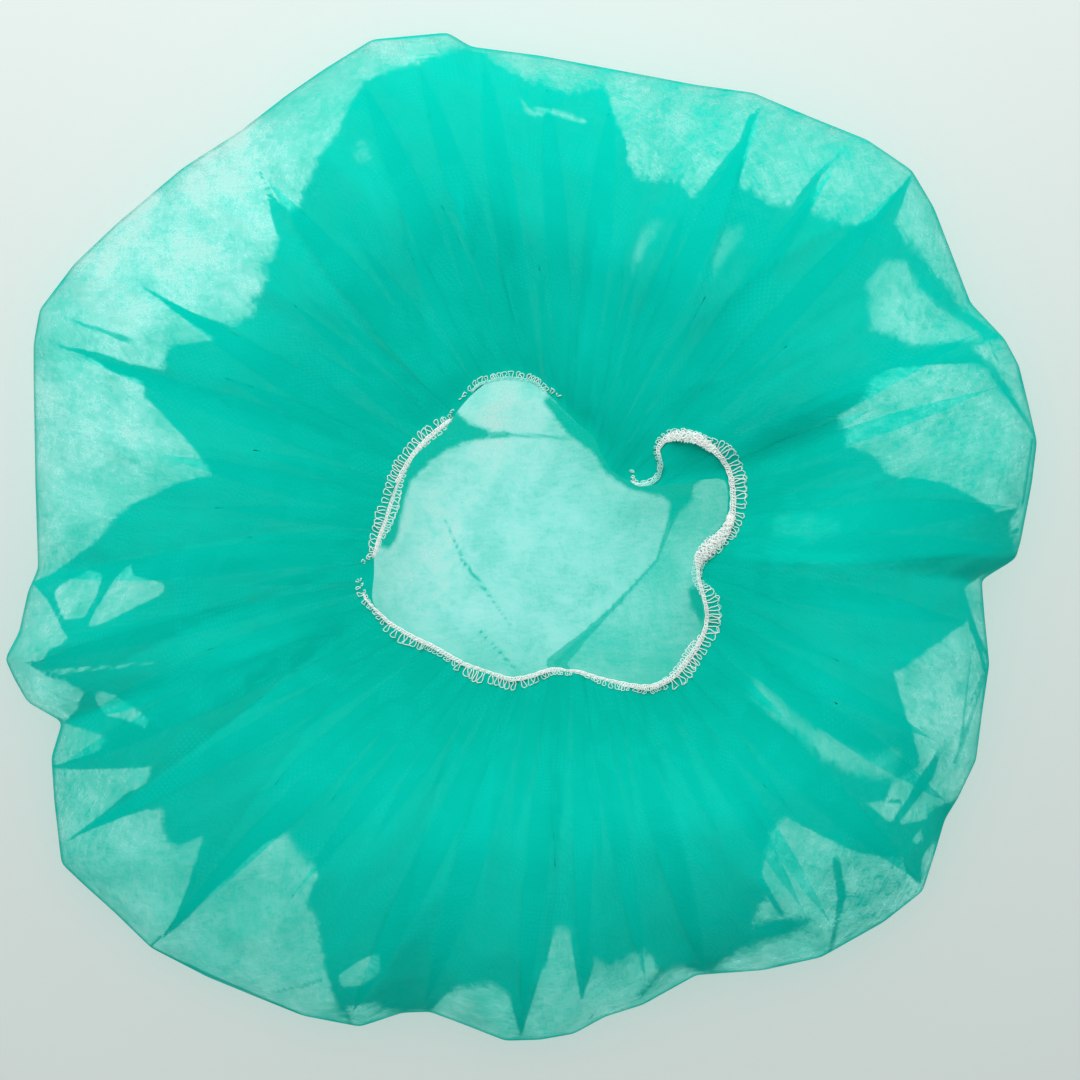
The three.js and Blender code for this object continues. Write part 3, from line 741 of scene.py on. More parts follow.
vertex_n = vertex_n.reshape(-1, 3)
# light spreads inside so thin a web, so its slopes shade less than a solid's
spread = lambda n: np.where(n[:, 2:3] > 0, n * (1, 1, 1.55), n)
vertex_n = spread(vertex_n)
vertex_n /= np.maximum(np.linalg.norm(vertex_n, axis=1), 1e-6)[:, None]
face_n = np.empty(len(mesh.polygons) * 3, np.float32)
mesh.polygons.foreach_get("normal", face_n)
face_n = face_n.reshape(-1, 3)
corners = np.empty(len(mesh.polygons), np.int32)
mesh.polygons.foreach_get("loop_total", corners)
loop_face = np.repeat(np.arange(len(mesh.polygons)), corners)
folded = np.zeros(N)
folded[:flip] = to_rings(np.maximum(np.clip(deep * 10, 0, 1) ** 2, 0.9 * near.ravel()))
ease = vertex_n.copy()
lay_all = np.zeros((N, 3))
lay_all[:flip] = lay[::-1].reshape(-1, 3)
ease = vertex_n * (1 - folded[:, None]) + lay_all * folded[:, None]
ease /= np.maximum(np.linalg.norm(ease, axis=1), 1e-6)[:, None]
corner_n = ease[loop_vertex]
side_of = np.where(((face_n[loop_face] * corner_n).sum(1) < 0) & (face_n[loop_face, 2] < 0.02), -1.0, 1.0)
corner_n = np.where(folded[loop_vertex][:, None] > 0.01, corner_n * side_of[:, None], vertex_n[loop_vertex])
mesh.normals_split_custom_set(corner_n.tolist())
cloth = bpy.data.objects.new("cap_cloth_folded", mesh)
bpy.context.scene.collection.objects.link(cloth)

tris = sum(len(f) - 2 for f in faces)
print("cloth triangles", tris, "pleats", COUNT)

# ------------------------------------------------ overlocked elastic band ----
# the seam's way round the mouth
SEAM = [
    # x, y, width mm, loops out mm, loops in mm, lift mm
    (477, 388, 0.8, 1.5, 0, 0.1), (490, 383, 0.9, 1.6, 0, 0.2), (505, 380, 1.0, 1.7, 0, 0.2), (522, 381, 1.0, 1.6, 0, 0.2),
    (536, 385, 0.9, 1.5, 0, 0.2), (546, 395, 0.7, 1.3, 0, -0.2), (562, 412, 0.4, 2.2, 0, -0.9), (578, 426, 0.4, 2.2, 0, -0.9),
    (592, 437, 0.4, 1.8, 0, -1.2), (612, 462, 0.4, 0.8, 0, -1.6), (628, 480, 0.6, 0.9, 0, -0.3), (641, 485, 0.9, 0.8, 0, 0.1),
    (655, 480, 1.3, 0.7, 0, 0.3), (660, 466, 1.1, 0.6, 0, 0.4), (657, 451, 1.2, 0.8, 0, 0.5), (664, 441, 1.9, 1.3, 0, 0.6),
    (677, 437, 2.7, 1.2, 0, 0.8), (693, 439, 2.9, 0.8, 0, 0.8), (705, 446, 2.4, 1.6, 0, 0.8), (717, 456, 1.7, 3.7, 0, 0.6),
    (727, 471, 1.6, 3.9, 0, 0.6), (731, 490, 1.7, 3.7, 0, 0.5), (731, 509, 1.9, 3.2, 0, 0.5), (727, 525, 2.3, 2.6, 0, 0.6),
    (718, 538, 3.3, 1.9, 0, 0.7), (706, 549, 3.9, 1.5, 0, 0.8), (698, 559, 2.9, 1.0, 0.4, 0.6), (697, 568, 1.1, 0.9, 1.4, 0.4),
    (698, 580, 1.1, 0.8, 1.2, 0.3), (703, 598, 1.1, 3.6, 0, 0.3), (706, 614, 1.2, 3.9, 0.2, 0.3), (704, 629, 1.3, 3.4, 0.3, 0.3),
    (697, 645, 1.5, 2.6, 1.7, 0.4), (688, 658, 1.6, 3.0, 1.5, 0.4), (675, 674, 1.6, 3.4, 0.8, 0.4), (661, 683, 1.6, 1.3, 0.3, 0.4),
    (648, 687, 2.0, 1.3, 0.2, 0.4), (636, 686, 1.5, 1.0, 0.2, 0.4), (620, 683, 1.3, 1.6, 0, 0.3), (603, 679, 1.1, 1.3, 0, 0.3),
    (590, 675, 1.0, 0.7, 0, 0.3), (578, 671, 0.7, 0.5, 0, 0.1), (567, 671, 1.1, 0.9, 0, 0.3), (556, 669, 1.2, 1.0, 0, 0.3),
    (545, 671, 1.2, 1.6, 0, 0.3), (530, 676, 1.3, 2.2, 0, 0.3), (512, 679, 1.4, 3.0, 0, 0.3), (500, 676, 1.3, 2.5, 0, 0.3),
    (490, 673, 1.3, 3.0, 0, 0.3), (478, 669, 1.4, 3.2, 0, 0.3), (465, 664, 1.3, 3.0, 0, 0.3), (452, 657, 1.3, 1.5, 0, 0.3),
    (433, 646, 1.3, 1.3, 0, 0.3), (420, 640, 1.3, 2.4, 0, 0.3), (407, 633, 1.2, 2.8, 0, 0.3), (392, 624, 1.2, 2.8, 0, 0.3),
    (382, 615, 0.9, 1.2, 0, 0.2), (373, 606, 0.6, 1.1, 0.4, 0.1), (366, 597, 0.6, 1.6, 0.8, 0.0), (366, 586, 0.5, 1.4, 0.4, -0.4),
    (371, 570, 0.5, 1.0, 0, -0.8), (376, 553, 0.9, 1.5, 0.5, 0.2), (379, 542, 1.1, 2.4, 0.8, 0.3), (384, 528, 1.1, 2.5, 1.8, 0.3),
    (388, 515, 1.2, 2.8, 2.2, 0.3), (393, 500, 1.2, 2.6, 2.0, 0.3), (397, 486, 1.3, 2.8, 1.4, 0.3), (405, 470, 1.3, 3.0, 0.4, 0.3),
    (414, 456, 1.3, 2.8, 0.2, 0.3), (425, 443, 1.3, 2.8, 0.8, 0.3), (436, 433, 1.3, 2.6, 1.4, 0.3), (447, 424, 1.0, 1.6, 0.4, 0.2),
    (458, 417, 0.5, 0.6, 0, -0.5), (468, 404, 0.5, 0.6, 0, -0.6),
]

tree = BVHTree.FromPolygons(verts.tolist(), faces)


def cloth_z(x, y):
    hit = tree.ray_cast(Vector((x, y, 90)), Vector((0, 0, -1)))
    return hit[0].z if hit[0] is not None else 0.0


seam_rows = np.array(SEAM, float)
seam_xy = plan(seam_rows[:, :2])


def closed_curve(points, per):
    """Smooth closed curve through the points, with per steps between two."""
    p0, p1 = np.roll(points, 1, 0), points
    p2, p3 = np.roll(points, -1, 0), np.roll(points, -2, 0)
    t = np.linspace(0, 1, per, endpoint=False)[None, :, None]
    p0, p1, p2, p3 = (p[:, None, :] for p in (p0, p1, p2, p3))
    c = 0.5 * (2 * p1 + (p2 - p0) * t + (2 * p0 - 5 * p1 + 4 * p2 - p3) * t ** 2 + (3 * p1 - p0 - 3 * p2 + p3) * t ** 3)
    return c.reshape(-1, points.shape[1])


raw = closed_curve(np.concatenate([seam_xy, seam_rows[:, 2:]], 1), 24)
step_len = np.linalg.norm(np.roll(raw[:, :2], -1, 0) - raw[:, :2], axis=1)
seam_s = np.concatenate([[0], np.cumsum(step_len)])
SEAM_LENGTH = seam_s[-1]
STEPS = int(SEAM_LENGTH / 0.36)
even = np.linspace(0, SEAM_LENGTH, STEPS, endpoint=False)
ring = np.concatenate([raw, raw[:1]])
seam = np.stack([np.interp(even, seam_s, ring[:, k]) for k in range(raw.shape[1])], 1)


def blur(v, mm):
    k = np.fft.rfftfreq(STEPS, SEAM_LENGTH / STEPS)
    return np.fft.irfft(np.fft.rfft(v) * np.exp(-0.5 * (2 * math.pi * k * mm) ** 2), STEPS)


tangent = np.roll(seam[:, :2], -1, 0) - np.roll(seam[:, :2], 1, 0)
tangent /= np.linalg.norm(tangent, axis=1)[:, None]
turns = np.sign(np.sum(seam[:, 0] * np.roll(seam[:, 1], -1) - np.roll(seam[:, 0], -1) * seam[:, 1]))
outward = np.stack([tangent[:, 1], -tangent[:, 0]], 1) * turns
outward = np.stack([blur(outward[:, 0], 0.8), blur(outward[:, 1], 0.8)], 1)
outward /= np.linalg.norm(outward, axis=1)[:, None]
# where the cloth bulges over the band, the band is tucked in under it
tuck = np.clip(blur(np.clip((-0.15 - seam[:, 5]) / 0.5, 0, 1), 1.2), 0, 1)
seam[:, :2] += outward * (2.6 * tuck)[:, None]
rim_angle = np.arctan2(seam[:, 1] - MOUTH_MIDDLE[1], seam[:, 0] - MOUTH_MIDDLE[0])
rim_z = at(MOUTH_Z, rim_angle)
lies = np.array([cloth_z(x, y) for x, y in seam[:, :2]])
lies = np.where(lies < rim_z - 7, np.nan, lies)
near_z = np.where(np.isnan(lies), rim_z, lies)
# where the line just misses the cloth's edge it keeps the height beside it
for _ in range(12):
    spread = np.maximum(np.roll(near_z, 3), np.roll(near_z, -3))
    near_z = np.where(np.isnan(lies), np.maximum(spread - 0.15, rim_z - 2), near_z)
seam_z = blur(np.maximum(near_z, blur(near_z, 1.2) - 0.2), 1.1) + 0.15 + blur(np.maximum(seam[:, 5], 0), 1.0) - 4.3 * tuck


class Threads:
    """Round threads gathered into one mesh."""

    def __init__(self):
        self.verts, self.faces, self.kind = [], [], []
        self.count = 0

    def add(self, line, radius, sides=5, closed=False, kind=0.0):
        line = np.asarray(line, float)
        n = len(line)
        if closed:
            t = np.roll(line, -1, 0) - np.roll(line, 1, 0)
        else:
            t = np.gradient(line, axis=0)
        t /= np.maximum(np.linalg.norm(t, axis=1), 1e-9)[:, None]
        side = np.cross(t, (0, 0, 1.0))
        side /= np.maximum(np.linalg.norm(side, axis=1), 1e-6)[:, None]
        up = np.cross(side, t)
        radius = np.broadcast_to(radius, (n,))
        a = np.arange(sides) * 2 * math.pi / sides
        pts = line[:, None] + radius[:, None, None] * (side[:, None] * np.cos(a)[None, :, None] + up[:, None] * np.sin(a)[None, :, None])
        base = self.count
        self.verts.append(pts.reshape(-1, 3))
        i = np.arange(n if closed else n - 1)
        j = np.arange(sides)
        ii, jj = np.meshgrid(i, j, indexing="ij")
        i2, j2 = (ii + 1) % n, (jj + 1) % sides
        quads = np.stack([base + ii * sides + jj, base + ii * sides + j2, base + i2 * sides + j2, base + i2 * sides + jj], -1).reshape(-1, 4)
        self.faces += quads.tolist()
        self.count += n * sides
        kinds = np.broadcast_to(kind, (n,))
        self.kind += np.repeat(kinds, sides).tolist()
        if not closed:
            for first_row, order in ((0, 1), (n - 1, -1)):
                self.verts.append(line[first_row:first_row + 1])
                cap = self.count
                ringed = [base + first_row * sides + k for k in range(sides)]
                for k in range(sides):
                    a_, b_ = ringed[k], ringed[(k + 1) % sides]
                    self.faces.append([cap, b_, a_] if order == 1 else [cap, a_, b_])
                self.count += 1
                self.kind.append(float(kinds[first_row]))

    def build(self, name):
        m = bpy.data.meshes.new(name)
        m.from_pydata((np.concatenate(self.verts) / 1000).tolist(), [], self.faces)
        m.polygons.foreach_set("use_smooth", np.ones(len(m.polygons), bool))
        att = m.attributes.new("kind", "FLOAT", "POINT")
        att.data.foreach_set("value", np.array(self.kind, np.float32))
        m.update()
        o = bpy.data.objects.new(name, m)
        bpy.context.scene.collection.objects.link(o)
        return o


threads = Threads()
width = np.maximum(blur(seam[:, 2], 0.7), 0.35) * np.where(blur(seam[:, 2], 0.7) > 2.0, 1.15, 0.98)
width = blur(width, 0.5)
s_at = even
shown = np.clip((seam[:, 5] + 1.0) / 0.8, 0.45, 1)
# at the mouth's far side the band lies half under the cloth, so its threads take the cloth's tint
far_side = plan((512, 378))
faint = np.exp(-(np.linalg.norm(seam[:, :2] - far_side, axis=1) / 15) ** 4)
faint = np.maximum(faint, 0.9 * np.exp(-(np.linalg.norm(seam[:, :2] - plan((650, 472)), axis=1) / 6.5) ** 4))
faint = np.maximum(faint, np.clip(tuck * 1.5, 0, 1)) * 1.6


def along(offset_out, offset_up):
    return np.concatenate([seam[:, :2] + outward * np.asarray(offset_out)[:, None], (seam_z + offset_up)[:, None]], 1)


def chain(pitch, phase, reach_, up, radius, kind=0.0, sides=5):
    """A strand that swings from side to side of the band, once in each pitch."""
    rounds = max(round(SEAM_LENGTH / pitch), 1)
    w = 2 * math.pi * rounds * s_at / SEAM_LENGTH + phase + 0.7 * np.sin(s_at / 6.1 + phase)
    swing = np.sin(w) + 0.18 * np.sin(3 * w)
    threads.add(along(width * reach_ * swing, up + 0.13 * np.cos(w)), radius * shown, sides, True, np.maximum(kind, faint))


# the elastic core, a soft flat strand, lies lowest
threads.add(along(width * 0.10 * np.sin(s_at / 2.7), np.full(STEPS, -0.05)), np.maximum(width * 0.13, 0.14), 6, True, np.maximum(0.5, faint))
# two strands run along its sides, and two stitch across and over it
for side, phase in ((-1, 0.4), (1, 2.1)):
    threads.add(along(side * width * (0.43 + 0.06 * np.sin(s_at * 1.9 + phase)), 0.10 + 0.06 * np.sin(s_at * 3.3 + phase)), 0.15 * shown, 5, True, np.maximum(0.1, faint))
chain(1.9, 0.0, 0.50, 0.20, 0.155)
chain(1.9, 3.1, 0.50, 0.24, 0.155)
chain(1.1, 1.3, 0.36, 0.16, 0.13)


def lying(x, y, z0):
    """Height of a thread lying at x, y beside the band at z0."""
    zc = cloth_z(x, y)
    return z0 - 0.3 if abs(zc - z0) > 3.4 else zc + 0.22


def runs(mask):
    """Unbroken stretches of the seam where mask holds."""
    found, start = [], None
    for k, on in enumerate(mask):
        if on and start is None:
            start = k
        if not on and start is not None:
            found.append(np.arange(start, k))
            start = None
    if start is not None:
        found.append(np.arange(start, len(mask)))
    return [r for r in found if len(r) > 8]


# thread heaped up where the band turns over on itself
for r in runs(width > 2.0):
    rise = np.clip(np.minimum(np.arange(len(r)), np.arange(len(r))[::-1]) / 7, 0, 1)
    for k in range(12):
        lane = ((k * 5) % 12 - 5.5) / 5.5 * 0.42
        w = s_at * 2 * math.pi / (1.15 + 0.19 * ((k * 7) % 9)) + k * 1.9
        wild = 0.17 + 0.06 * np.sin(s_at / 1.7 + k)
        line = along(width * (lane + wild * np.sin(w)), (0.20 + 0.22 * np.cos(w * 1.3 + k) + 0.16 * width * (1 - (lane * 2) ** 2)))[r]
        line[:, 2] = line[:, 2] * rise + (seam_z[r] + 0.1) * (1 - rise)
        threads.add(line, 0.155, 5, False, 0.0)


def seam_at(s):
    x = (s % SEAM_LENGTH) / SEAM_LENGTH * STEPS
    i = int(x) % STEPS
    f = x - int(x)
    j = (i + 1) % STEPS
    mixed = lambda v: v[i] * (1 - f) + v[j] * f
    return mixed(seam[:, :2]), mixed(outward), mixed(tangent), mixed(seam_z), mixed(seam[:, 2:]), mixed(width)


def loop(s, side, length, spread, lean):
    """One overlock loop: out over the cloth, round, and back."""
    p, out, tan, z0, row, w = seam_at(s)
    shape = [(-0.14, 0.0), (-0.22, 0.32), (-0.31, 0.66), (-0.35, 0.90), (-0.10, 1.00), (0.16, 1.05),
             (0.36, 0.92), (0.30, 0.62), (0.19, 0.30), (0.14, 0.0)]
    line = []
    shape = [(u + rng.uniform(-0.09, 0.09), v + rng.uniform(-0.03, 0.03) * (v > 0)) for u, v in shape]
    for u, v in shape:
        bend = lean * v ** 1.5
        q = p + out * side * (w * 0.36 + length * v) + tan * (u * spread + bend)
        zc = lying(q[0], q[1], z0)
        line.append((q[0], q[1], max((1 - v) * (z0 + 0.12) + v * zc, zc)))
    threads.add(line, 0.15, 4, False, float(np.interp(row[1], [1.5, 3.0], [1.0, 0.62])))


s = 0.0
while s < SEAM_LENGTH - 0.4:
    _, _, _, _, row, w = seam_at(s)
    cluster = 0.90 + 0.22 * math.sin(s * 0.55 + 2 * math.sin(s * 0.13))
    pitch = (2.25 if row[1] > 2 else 1.75) * cluster
    if row[1] > 0.45:
        loop(s, 1, row[1] * rng.uniform(0.86, 1.08), pitch * rng.uniform(0.8, 1.35), rng.uniform(-0.7, 0.7))
    if row[2] > 0.3:
        loop(s + pitch * 0.5, -1, row[2] * rng.uniform(0.8, 1.1), pitch * rng.uniform(0.8, 1.1), rng.uniform(-0.3, 0.3))
    s += pitch

# thread that links the loops' far ends, where the loops lie flat and open
for side, column, least in ((1, 3, 3.3), (-1, 4, 1.5)):
    for r in runs(seam[:, column] > least):
        off = side * (width[r] * 0.36 + seam[r, column] * (0.93 + 0.11 * np.sin(s_at[r] * 3.1)))
        xy = seam[r, :2] + outward[r] * off[:, None]
        threads.add([(x, y, lying(x, y, z0) + 0.05) for (x, y), z0 in zip(xy, seam_z[r])], 0.12, 4, False, 1.0)
band = threads.build("elastic_band_overlocked")


# ------------------------------------------------------------- materials ----
class Nodes:
    """Short names for building a material out of nodes."""

    def __init__(self, name):
        self.mat = bpy.data.materials.new(name)
        self.mat.use_nodes = True
        self.tree = self.mat.node_tree
        self.tree.nodes.clear()
        self.out = self.new("ShaderNodeOutputMaterial")
        self.skin = self.new("ShaderNodeBsdfPrincipled")
        self.tree.links.new(self.skin.outputs[0], self.out.inputs["Surface"])

    def new(self, kind, **settings):
        n = self.tree.nodes.new(kind)
        for k, v in settings.items():
            setattr(n, k, v)
        return n

    def put(self, socket, value):
        if isinstance(value, bpy.types.NodeSocket):
            self.tree.links.new(value, socket)
        elif isinstance(value, (tuple, list)) and len(value) == 3 and socket.type == "RGBA":
            socket.default_value = (*value, 1)
        else:
            socket.default_value = value

    def math(self, op, a, b=0.0, clamp=False):
        n = self.new("ShaderNodeMath", operation=op, use_clamp=clamp)
        self.put(n.inputs[0], a)
        self.put(n.inputs[1], b)
        return n.outputs[0]

    def mul(self, a, b):
        return self.math("MULTIPLY", a, b)

    def add(self, a, b):
        return self.math("ADD", a, b)

    def sub(self, a, b):
        return self.math("SUBTRACT", a, b)

    def ramp(self, value, low, high, to_low=0.0, to_high=1.0, smooth=True):
        n = self.new("ShaderNodeMapRange", interpolation_type="SMOOTHSTEP" if smooth else "LINEAR")
        self.put(n.inputs["Value"], value)
        for k, v in (("From Min", low), ("From Max", high), ("To Min", to_low), ("To Max", to_high)):
            n.inputs[k].default_value = v
        return n.outputs["Result"]

    def mix(self, share, a, b):
        """Colours a and b mixed."""
        n = self.new("ShaderNodeMix", data_type="RGBA")
        self.put(n.inputs[0], share)
        self.put(n.inputs[6], a)
        self.put(n.inputs[7], b)
        return n.outputs[2]

    def blend(self, share, a, b):
        """Numbers a and b mixed."""
        n = self.new("ShaderNodeMix", data_type="FLOAT")
        self.put(n.inputs[0], share)
        self.put(n.inputs[2], a)
        self.put(n.inputs[3], b)
        return n.outputs[0]

    def noise(self, where, scale, detail=2.0, rough=0.5, twist=0.0):
        n = self.new("ShaderNodeTexNoise", noise_dimensions="3D")
        self.put(n.inputs["Vector"], where)
        n.inputs["Scale"].default_value = scale
        n.inputs["Detail"].default_value = detail
        n.inputs["Roughness"].default_value = rough
        n.inputs["Distortion"].default_value = twist
        return n.outputs["Fac"]

    def mark(self, name):
        return self.new("ShaderNodeAttribute", attribute_name=name).outputs["Fac"]

    def bump(self, height, strength, distance, normal=None):
        n = self.new("ShaderNodeBump")
        self.put(n.inputs["Height"], height)
        n.inputs["Strength"].default_value = strength
        n.inputs["Distance"].default_value = distance
        if normal is not None:
            self.put(n.inputs["Normal"], normal)
        return n.outputs[0]


m = Nodes("teal_nonwoven")
flat_map = m.new("ShaderNodeUVMap", uv_map="OFBake").outputs[0]
scale_mm = m.new("ShaderNodeVectorMath", operation="SCALE")
m.put(scale_mm.inputs[0], flat_map)
scale_mm.inputs["Scale"].default_value = 600.0
mm = scale_mm.outputs[0]                               # the flat cloth, in mm

cloud = m.mark("cloud")                                # patches a hand wide down to 9 mm
patch = m.noise(mm, 0.33, 2, 0.72)                     # fibre clumps
fibre = m.noise(mm, 1.55, 2, 0.80)                     # single fibres and tiny knots
streak_in = m.new("ShaderNodeMapping")
m.put(streak_in.inputs["Vector"], mm)
streak_in.inputs["Rotation"].default_value = (0, 0, 0.9)
streak_in.inputs["Scale"].default_value = (0.16, 1.0, 1.0)
streak = m.noise(streak_in.outputs[0], 0.9, 1, 0.6)    # fibres run mostly one way
# bond points pressed into the web in a slanted grid
grid_in = m.new("ShaderNodeMapping")
m.put(grid_in.inputs["Vector"], mm)
grid_in.inputs["Rotation"].default_value = (0, 0, 0.62)
split = m.new("ShaderNodeSeparateXYZ")
m.put(split.inputs[0], grid_in.outputs[0])
PITCH = 2 * math.pi / 1.9
dots = m.mul(m.math("SINE", m.mul(split.outputs[0], PITCH)), m.math("SINE", m.mul(split.outputs[1], PITCH)))
dots = m.ramp(dots, 0.35, 0.85)

gather_mark = m.mark("gather")
fold_line = m.mark("line")
deep_mark = m.mark("deep")
rim_mark = m.mark("near_mouth")
crown_mark = m.mark("crown")
double_mark = m.mark("double")
worn_mark = m.mark("worn")
pale_web_and_light_mark = m.mark("pale")
far_mark = m.mark("far")

ragged = m.mark("soften")
fuzz = m.add(m.mul(m.sub(fibre, 0.5), m.add(0.6, m.mul(ragged, 2.4))), m.mul(m.sub(patch, 0.5), m.add(0.5, m.mul(ragged, 3.6))))
fuzz = m.add(fuzz, m.mul(m.sub(cloud, 0.5), m.mul(ragged, 2.2)))
reached = m.add(m.math("MAXIMUM", m.add(gather_mark, 0.25), m.mul(m.add(m.mark("under_dense"), 0.4), 0.45)), fuzz)
dense = m.ramp(m.math("DIVIDE", reached, m.add(0.42, m.mul(ragged, 1.7))), -1.0, 1.0)
halo = m.ramp(m.add(gather_mark, m.mul(m.sub(patch, 0.5), 9.0)), -5.5, 0.5)
lines = m.mul(m.ramp(m.add(fold_line, m.mul(m.sub(fibre, 0.5), 0.30)), 0.18, 0.62), 0.92)
# worn-thin places inside the gathers are ragged at their edges
dense = m.mul(dense, m.sub(1.0, m.math("MULTIPLY", worn_mark, m.ramp(m.add(m.add(m.mul(patch, 1.3), m.mul(fibre, 1.0)), m.mul(worn_mark, 0.62)), 1.20, 1.56), True)))
# the long crease in the crown is where the doubled cloth begins
crease = m.math("ABSOLUTE", m.add(double_mark, m.mul(m.sub(patch, 0.5), 0.8)))
crease = m.ramp(m.sub(m.mark("crease_half"), crease), -0.25, 0.20)
dense = m.math("MAXIMUM", dense, m.math("MAXIMUM", lines, m.mul(crease, m.mul(crown_mark, 0.80))))
doubled = m.ramp(double_mark, -0.4, 0.6)

# thin cloth is clumped and cloudy, with lighter worn-thin places, and painted light making the crown floor in the mouth
# paler
web = m.add(m.mul(m.sub(cloud, 0.5), 0.55), m.add(m.mul(m.sub(patch, 0.5), 1.15), m.add(m.mul(m.sub(fibre, 0.5), 1.0), m.mul(m.sub(streak, 0.5), 0.55))))
web = m.add(web, m.mul(m.sub(dots, 0.3), 0.14))
pepper = m.mul(m.ramp(m.add(fibre, m.mul(m.sub(patch, 0.5), 0.8)), 0.60, 0.80), m.ramp(m.mark("mottle"), 1.0, 1.6, 0.10, 0.75))
web = m.add(m.mul(web, m.mark("mottle")), pepper)
# painted light in the mouth: the crown floor is thinned where light falls on it; elsewhere the web is thinnest
pale_web_and_light_ragged = m.mul(pale_web_and_light_mark, m.ramp(m.add(m.mul(cloud, 0.7), patch), 1.15, 0.55, 0.55, 1.10))
thin_alpha = m.sub(m.add(0.54, m.mul(web, 0.46)), m.mul(pale_web_and_light_ragged, 0.36))
thin_alpha = m.add(thin_alpha, m.mul(halo, 0.05))
floor_alpha = m.sub(m.add(m.add(0.64, m.mul(doubled, 0.12)), m.mul(web, 0.26)), m.mul(pale_web_and_light_ragged, 0.26))
floor_alpha = m.blend(far_mark, floor_alpha, m.sub(m.add(0.55, m.mul(web, 0.42)), m.mul(pale_web_and_light_ragged, 0.30)))
edge_line = m.ramp(m.add(m.mark("from_edge"), m.mul(m.sub(patch, 0.5), 0.9)), 0.95, 0.25, 0.0, 0.62)
thin_alpha = m.blend(crown_mark, thin_alpha, floor_alpha)
thin_alpha = m.math("MAXIMUM", m.add(thin_alpha, m.mul(edge_line, 0.40)), 0.17)
dense_alpha = m.math("ADD", 0.985, m.mul(web, 0.03), True)
alpha = m.math("ADD", m.blend(dense, thin_alpha, dense_alpha), 0.0, True)

thin_colour = m.mix(m.ramp(thin_alpha, 0.18, 0.66), (0.12, 1.0, 0.90), (0.0, 0.70, 0.565))
floor_colour = m.mix(m.ramp(thin_alpha, 0.38, 0.84), (0.12, 1.0, 0.92), (0.0, 0.73, 0.595))
thin_colour = m.mix(m.math("MULTIPLY", crown_mark, m.sub(1.0, far_mark), True), thin_colour, floor_colour)
thin_colour = m.mix(edge_line, thin_colour, (0.0, 0.60, 0.50))
tone_mark = m.add(m.mark("tone"), m.mul(m.sub(streak, 0.5), 0.25))
dense_colour = m.mix(m.ramp(deep_mark, 0.05, 0.95), (0.0, 0.605, 0.478), (0.0, 0.545, 0.425))
dense_colour = m.mix(m.ramp(tone_mark, 0.0, 1.0, 0.0, 0.85), dense_colour, (0.0, 0.455, 0.345))
dense_colour = m.mix(m.ramp(tone_mark, 0.0, -0.8, 0.0, 0.90), dense_colour, (0.0, 0.700, 0.575))
# the dense cloth is darker towards the mouth
dense_colour = m.mix(m.ramp(rim_mark, 0.20, 1.0, 0.0, 0.55), dense_colour, (0.0, 0.475, 0.350))
dense_colour = m.mix(m.ramp(cloud, 0.35, 0.80, 0.0, 0.22), dense_colour, (0.0, 0.645, 0.52))
dense_colour = m.mix(m.mul(dots, m.ramp(cloud, 0.45, 0.75, 0.03, 0.22)), dense_colour, (0.02, 0.74, 0.62))
dense_colour = m.mix(m.ramp(m.add(fibre, m.mul(patch, 0.4)), 0.60, 1.0, 0.0, 0.14), dense_colour, (0.0, 0.44, 0.34))
m.put(m.skin.inputs["Base Color"], m.mix(dense, thin_colour, dense_colour))
m.put(m.skin.inputs["Alpha"], alpha)
m.put(m.skin.inputs["Roughness"], m.add(0.80, m.mul(m.sub(fibre, 0.5), 0.3)))
m.skin.inputs["Specular IOR Level"].default_value = 0.02
relief = m.noise(mm, 0.9, 0, 0.5)
m.put(m.skin.inputs["Normal"], m.bump(relief, 0.22, 0.0003))
cloth.data.materials.append(m.mat)
# so thin a web lets the soft light through: it casts no shade of its own
cloth.visible_shadow = False

t = Nodes("white_overlock_thread")
where = t.new("ShaderNodeTexCoord").outputs["Object"]
twist = t.noise(where, 2600, 2, 0.5)
tone = t.noise(where, 180, 3, 0.6)
kind = t.mark("kind")
white = t.mix(t.ramp(tone, 0.3, 0.7), (0.88, 1.0, 0.95), (1.0, 1.0, 0.99))
warm = t.mix(t.ramp(t.noise(where, 420, 2, 0.5), 0.52, 0.75, 0.0, 0.5), white, (0.97, 0.86, 0.80))
loops_tint = t.mix(t.ramp(tone, 0.3, 0.7), (0.42, 0.97, 0.90), (0.80, 1.0, 0.96))
threads_tint = t.mix(t.ramp(kind, 0.5, 1.0), warm, loops_tint)
t.put(t.skin.inputs["Base Color"], t.mix(t.ramp(kind, 1.05, 1.6, 0.0, 0.85), threads_tint, (0.16, 0.80, 0.70)))
t.put(t.skin.inputs["Roughness"], t.add(0.55, t.mul(twist, 0.25)))
t.skin.inputs["Specular IOR Level"].default_value = 0.35
t.skin.inputs["Sheen Weight"].default_value = 0.15
# painted light: a faint white glow on the thread lifts its whites
t.skin.inputs["Emission Color"].default_value = (0.93, 1.0, 0.97, 1)
t.skin.inputs["Emission Strength"].default_value = 0.06
t.put(t.skin.inputs["Normal"], t.bump(twist, 0.5, 0.0001))
t.mat.cycles.emission_sampling = "NONE"
band.data.materials.append(t.mat)

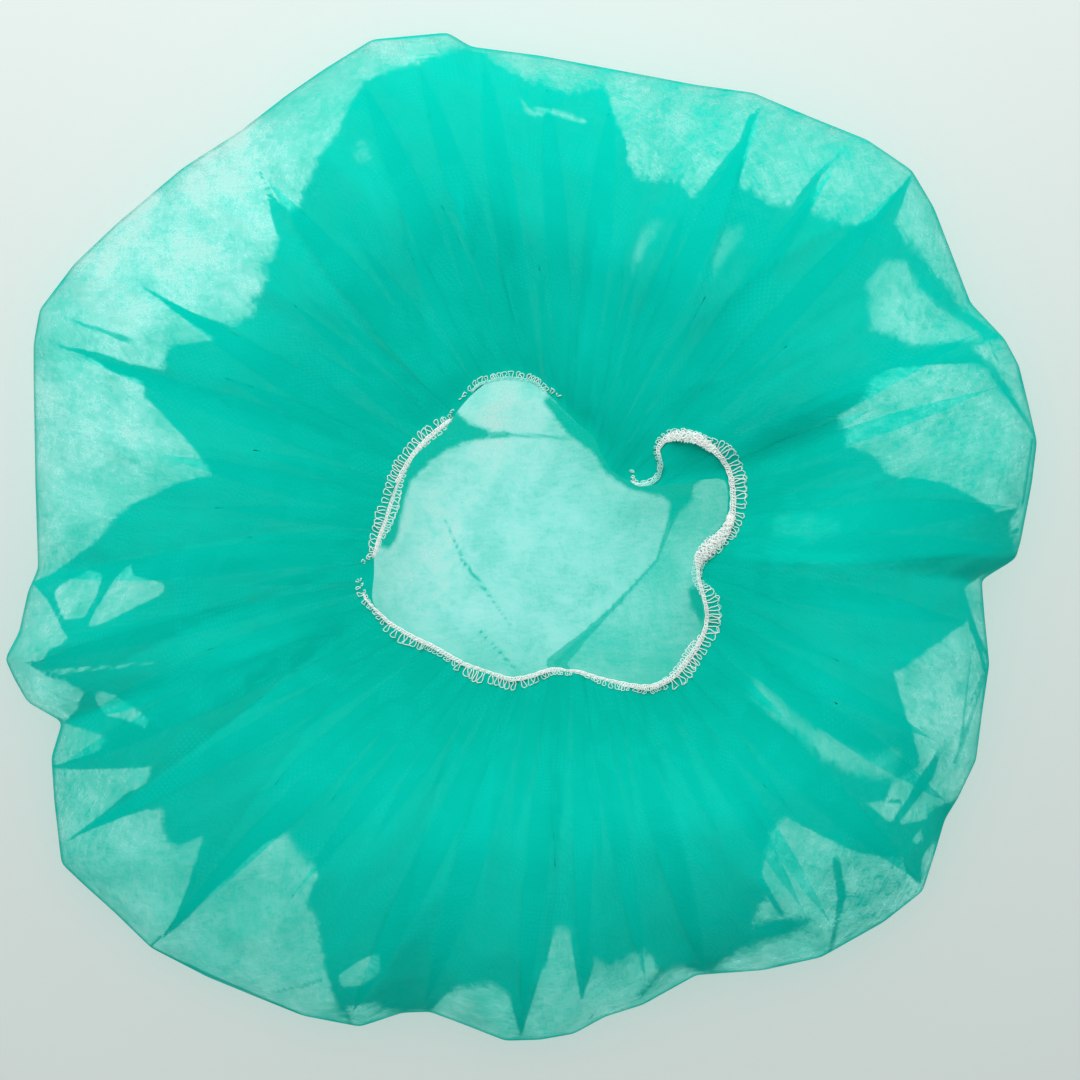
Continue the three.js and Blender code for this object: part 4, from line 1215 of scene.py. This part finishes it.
# ------------------------------------------------------ floor and light ----
bpy.ops.mesh.primitive_plane_add(size=4, location=(0, 0, -0.0002))
floor = bpy.context.object
floor.name = "floor"
f = Nodes("pale_floor")
place = f.new("ShaderNodeTexCoord").outputs["Object"]
shade = f.noise(place, 3.0, 2, 0.5)
f.put(f.skin.inputs["Base Color"], f.mix(shade, (0.80, 0.845, 0.83), (0.83, 0.865, 0.85)))
f.skin.inputs["Roughness"].default_value = 0.55
f.skin.inputs["Specular IOR Level"].default_value = 0.2
floor.data.materials.append(f.mat)

world = bpy.data.worlds.new("studio")
bpy.context.scene.world = world
world.use_nodes = True
world.node_tree.nodes["Background"].inputs[0].default_value = (0.93, 1.0, 0.985, 1)
world.node_tree.nodes["Background"].inputs[1].default_value = 0.36


def area_light(name, place, target, size, watts, colour):
    data = bpy.data.lights.new(name, "AREA")
    data.shape = "DISK"
    data.size = size
    data.energy = watts
    data.color = colour
    o = bpy.data.objects.new(name, data)
    o.location = place
    o.rotation_euler = (Vector(target) - Vector(place)).to_track_quat("-Z", "Y").to_euler()
    bpy.context.scene.collection.objects.link(o)


area_light("key", (-0.06, 0.70, 0.77), (0, 0.03, 0), 1.0, 9.4, (0.97, 1.0, 0.985))

# ---------------------------------------------------------------- camera ----
HEIGHT = 1.6
camera_data = bpy.data.cameras.new("camera")
camera_data.lens = 36 / 2 / (0.1663 / (HEIGHT - 0.009))
camera_data.sensor_width = 36
camera_data.clip_start = 0.01
camera = bpy.data.objects.new("camera", camera_data)
spot = plan((540, 540)) / 1000
camera.location = (spot[0], spot[1], HEIGHT)
camera.rotation_euler = (0, 0, 0)
bpy.context.scene.collection.objects.link(camera)
bpy.context.scene.camera = camera
bpy.context.scene.view_settings.view_transform = "Standard"
bpy.context.scene.view_settings.look = "None"
cycles = bpy.context.scene.cycles
cycles.transparent_max_bounces = 10
cycles.max_bounces = 3
cycles.diffuse_bounces = 2
cycles.glossy_bounces = 1

# ------------------------------------------------------------ the pieces ----
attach(cloth, "root")
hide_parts("cap_cloth")
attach(band, "root")
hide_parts("elastic_band")

print("seam mm", round(SEAM_LENGTH, 1), "thread triangles", sum(len(x) - 2 for x in threads.faces))
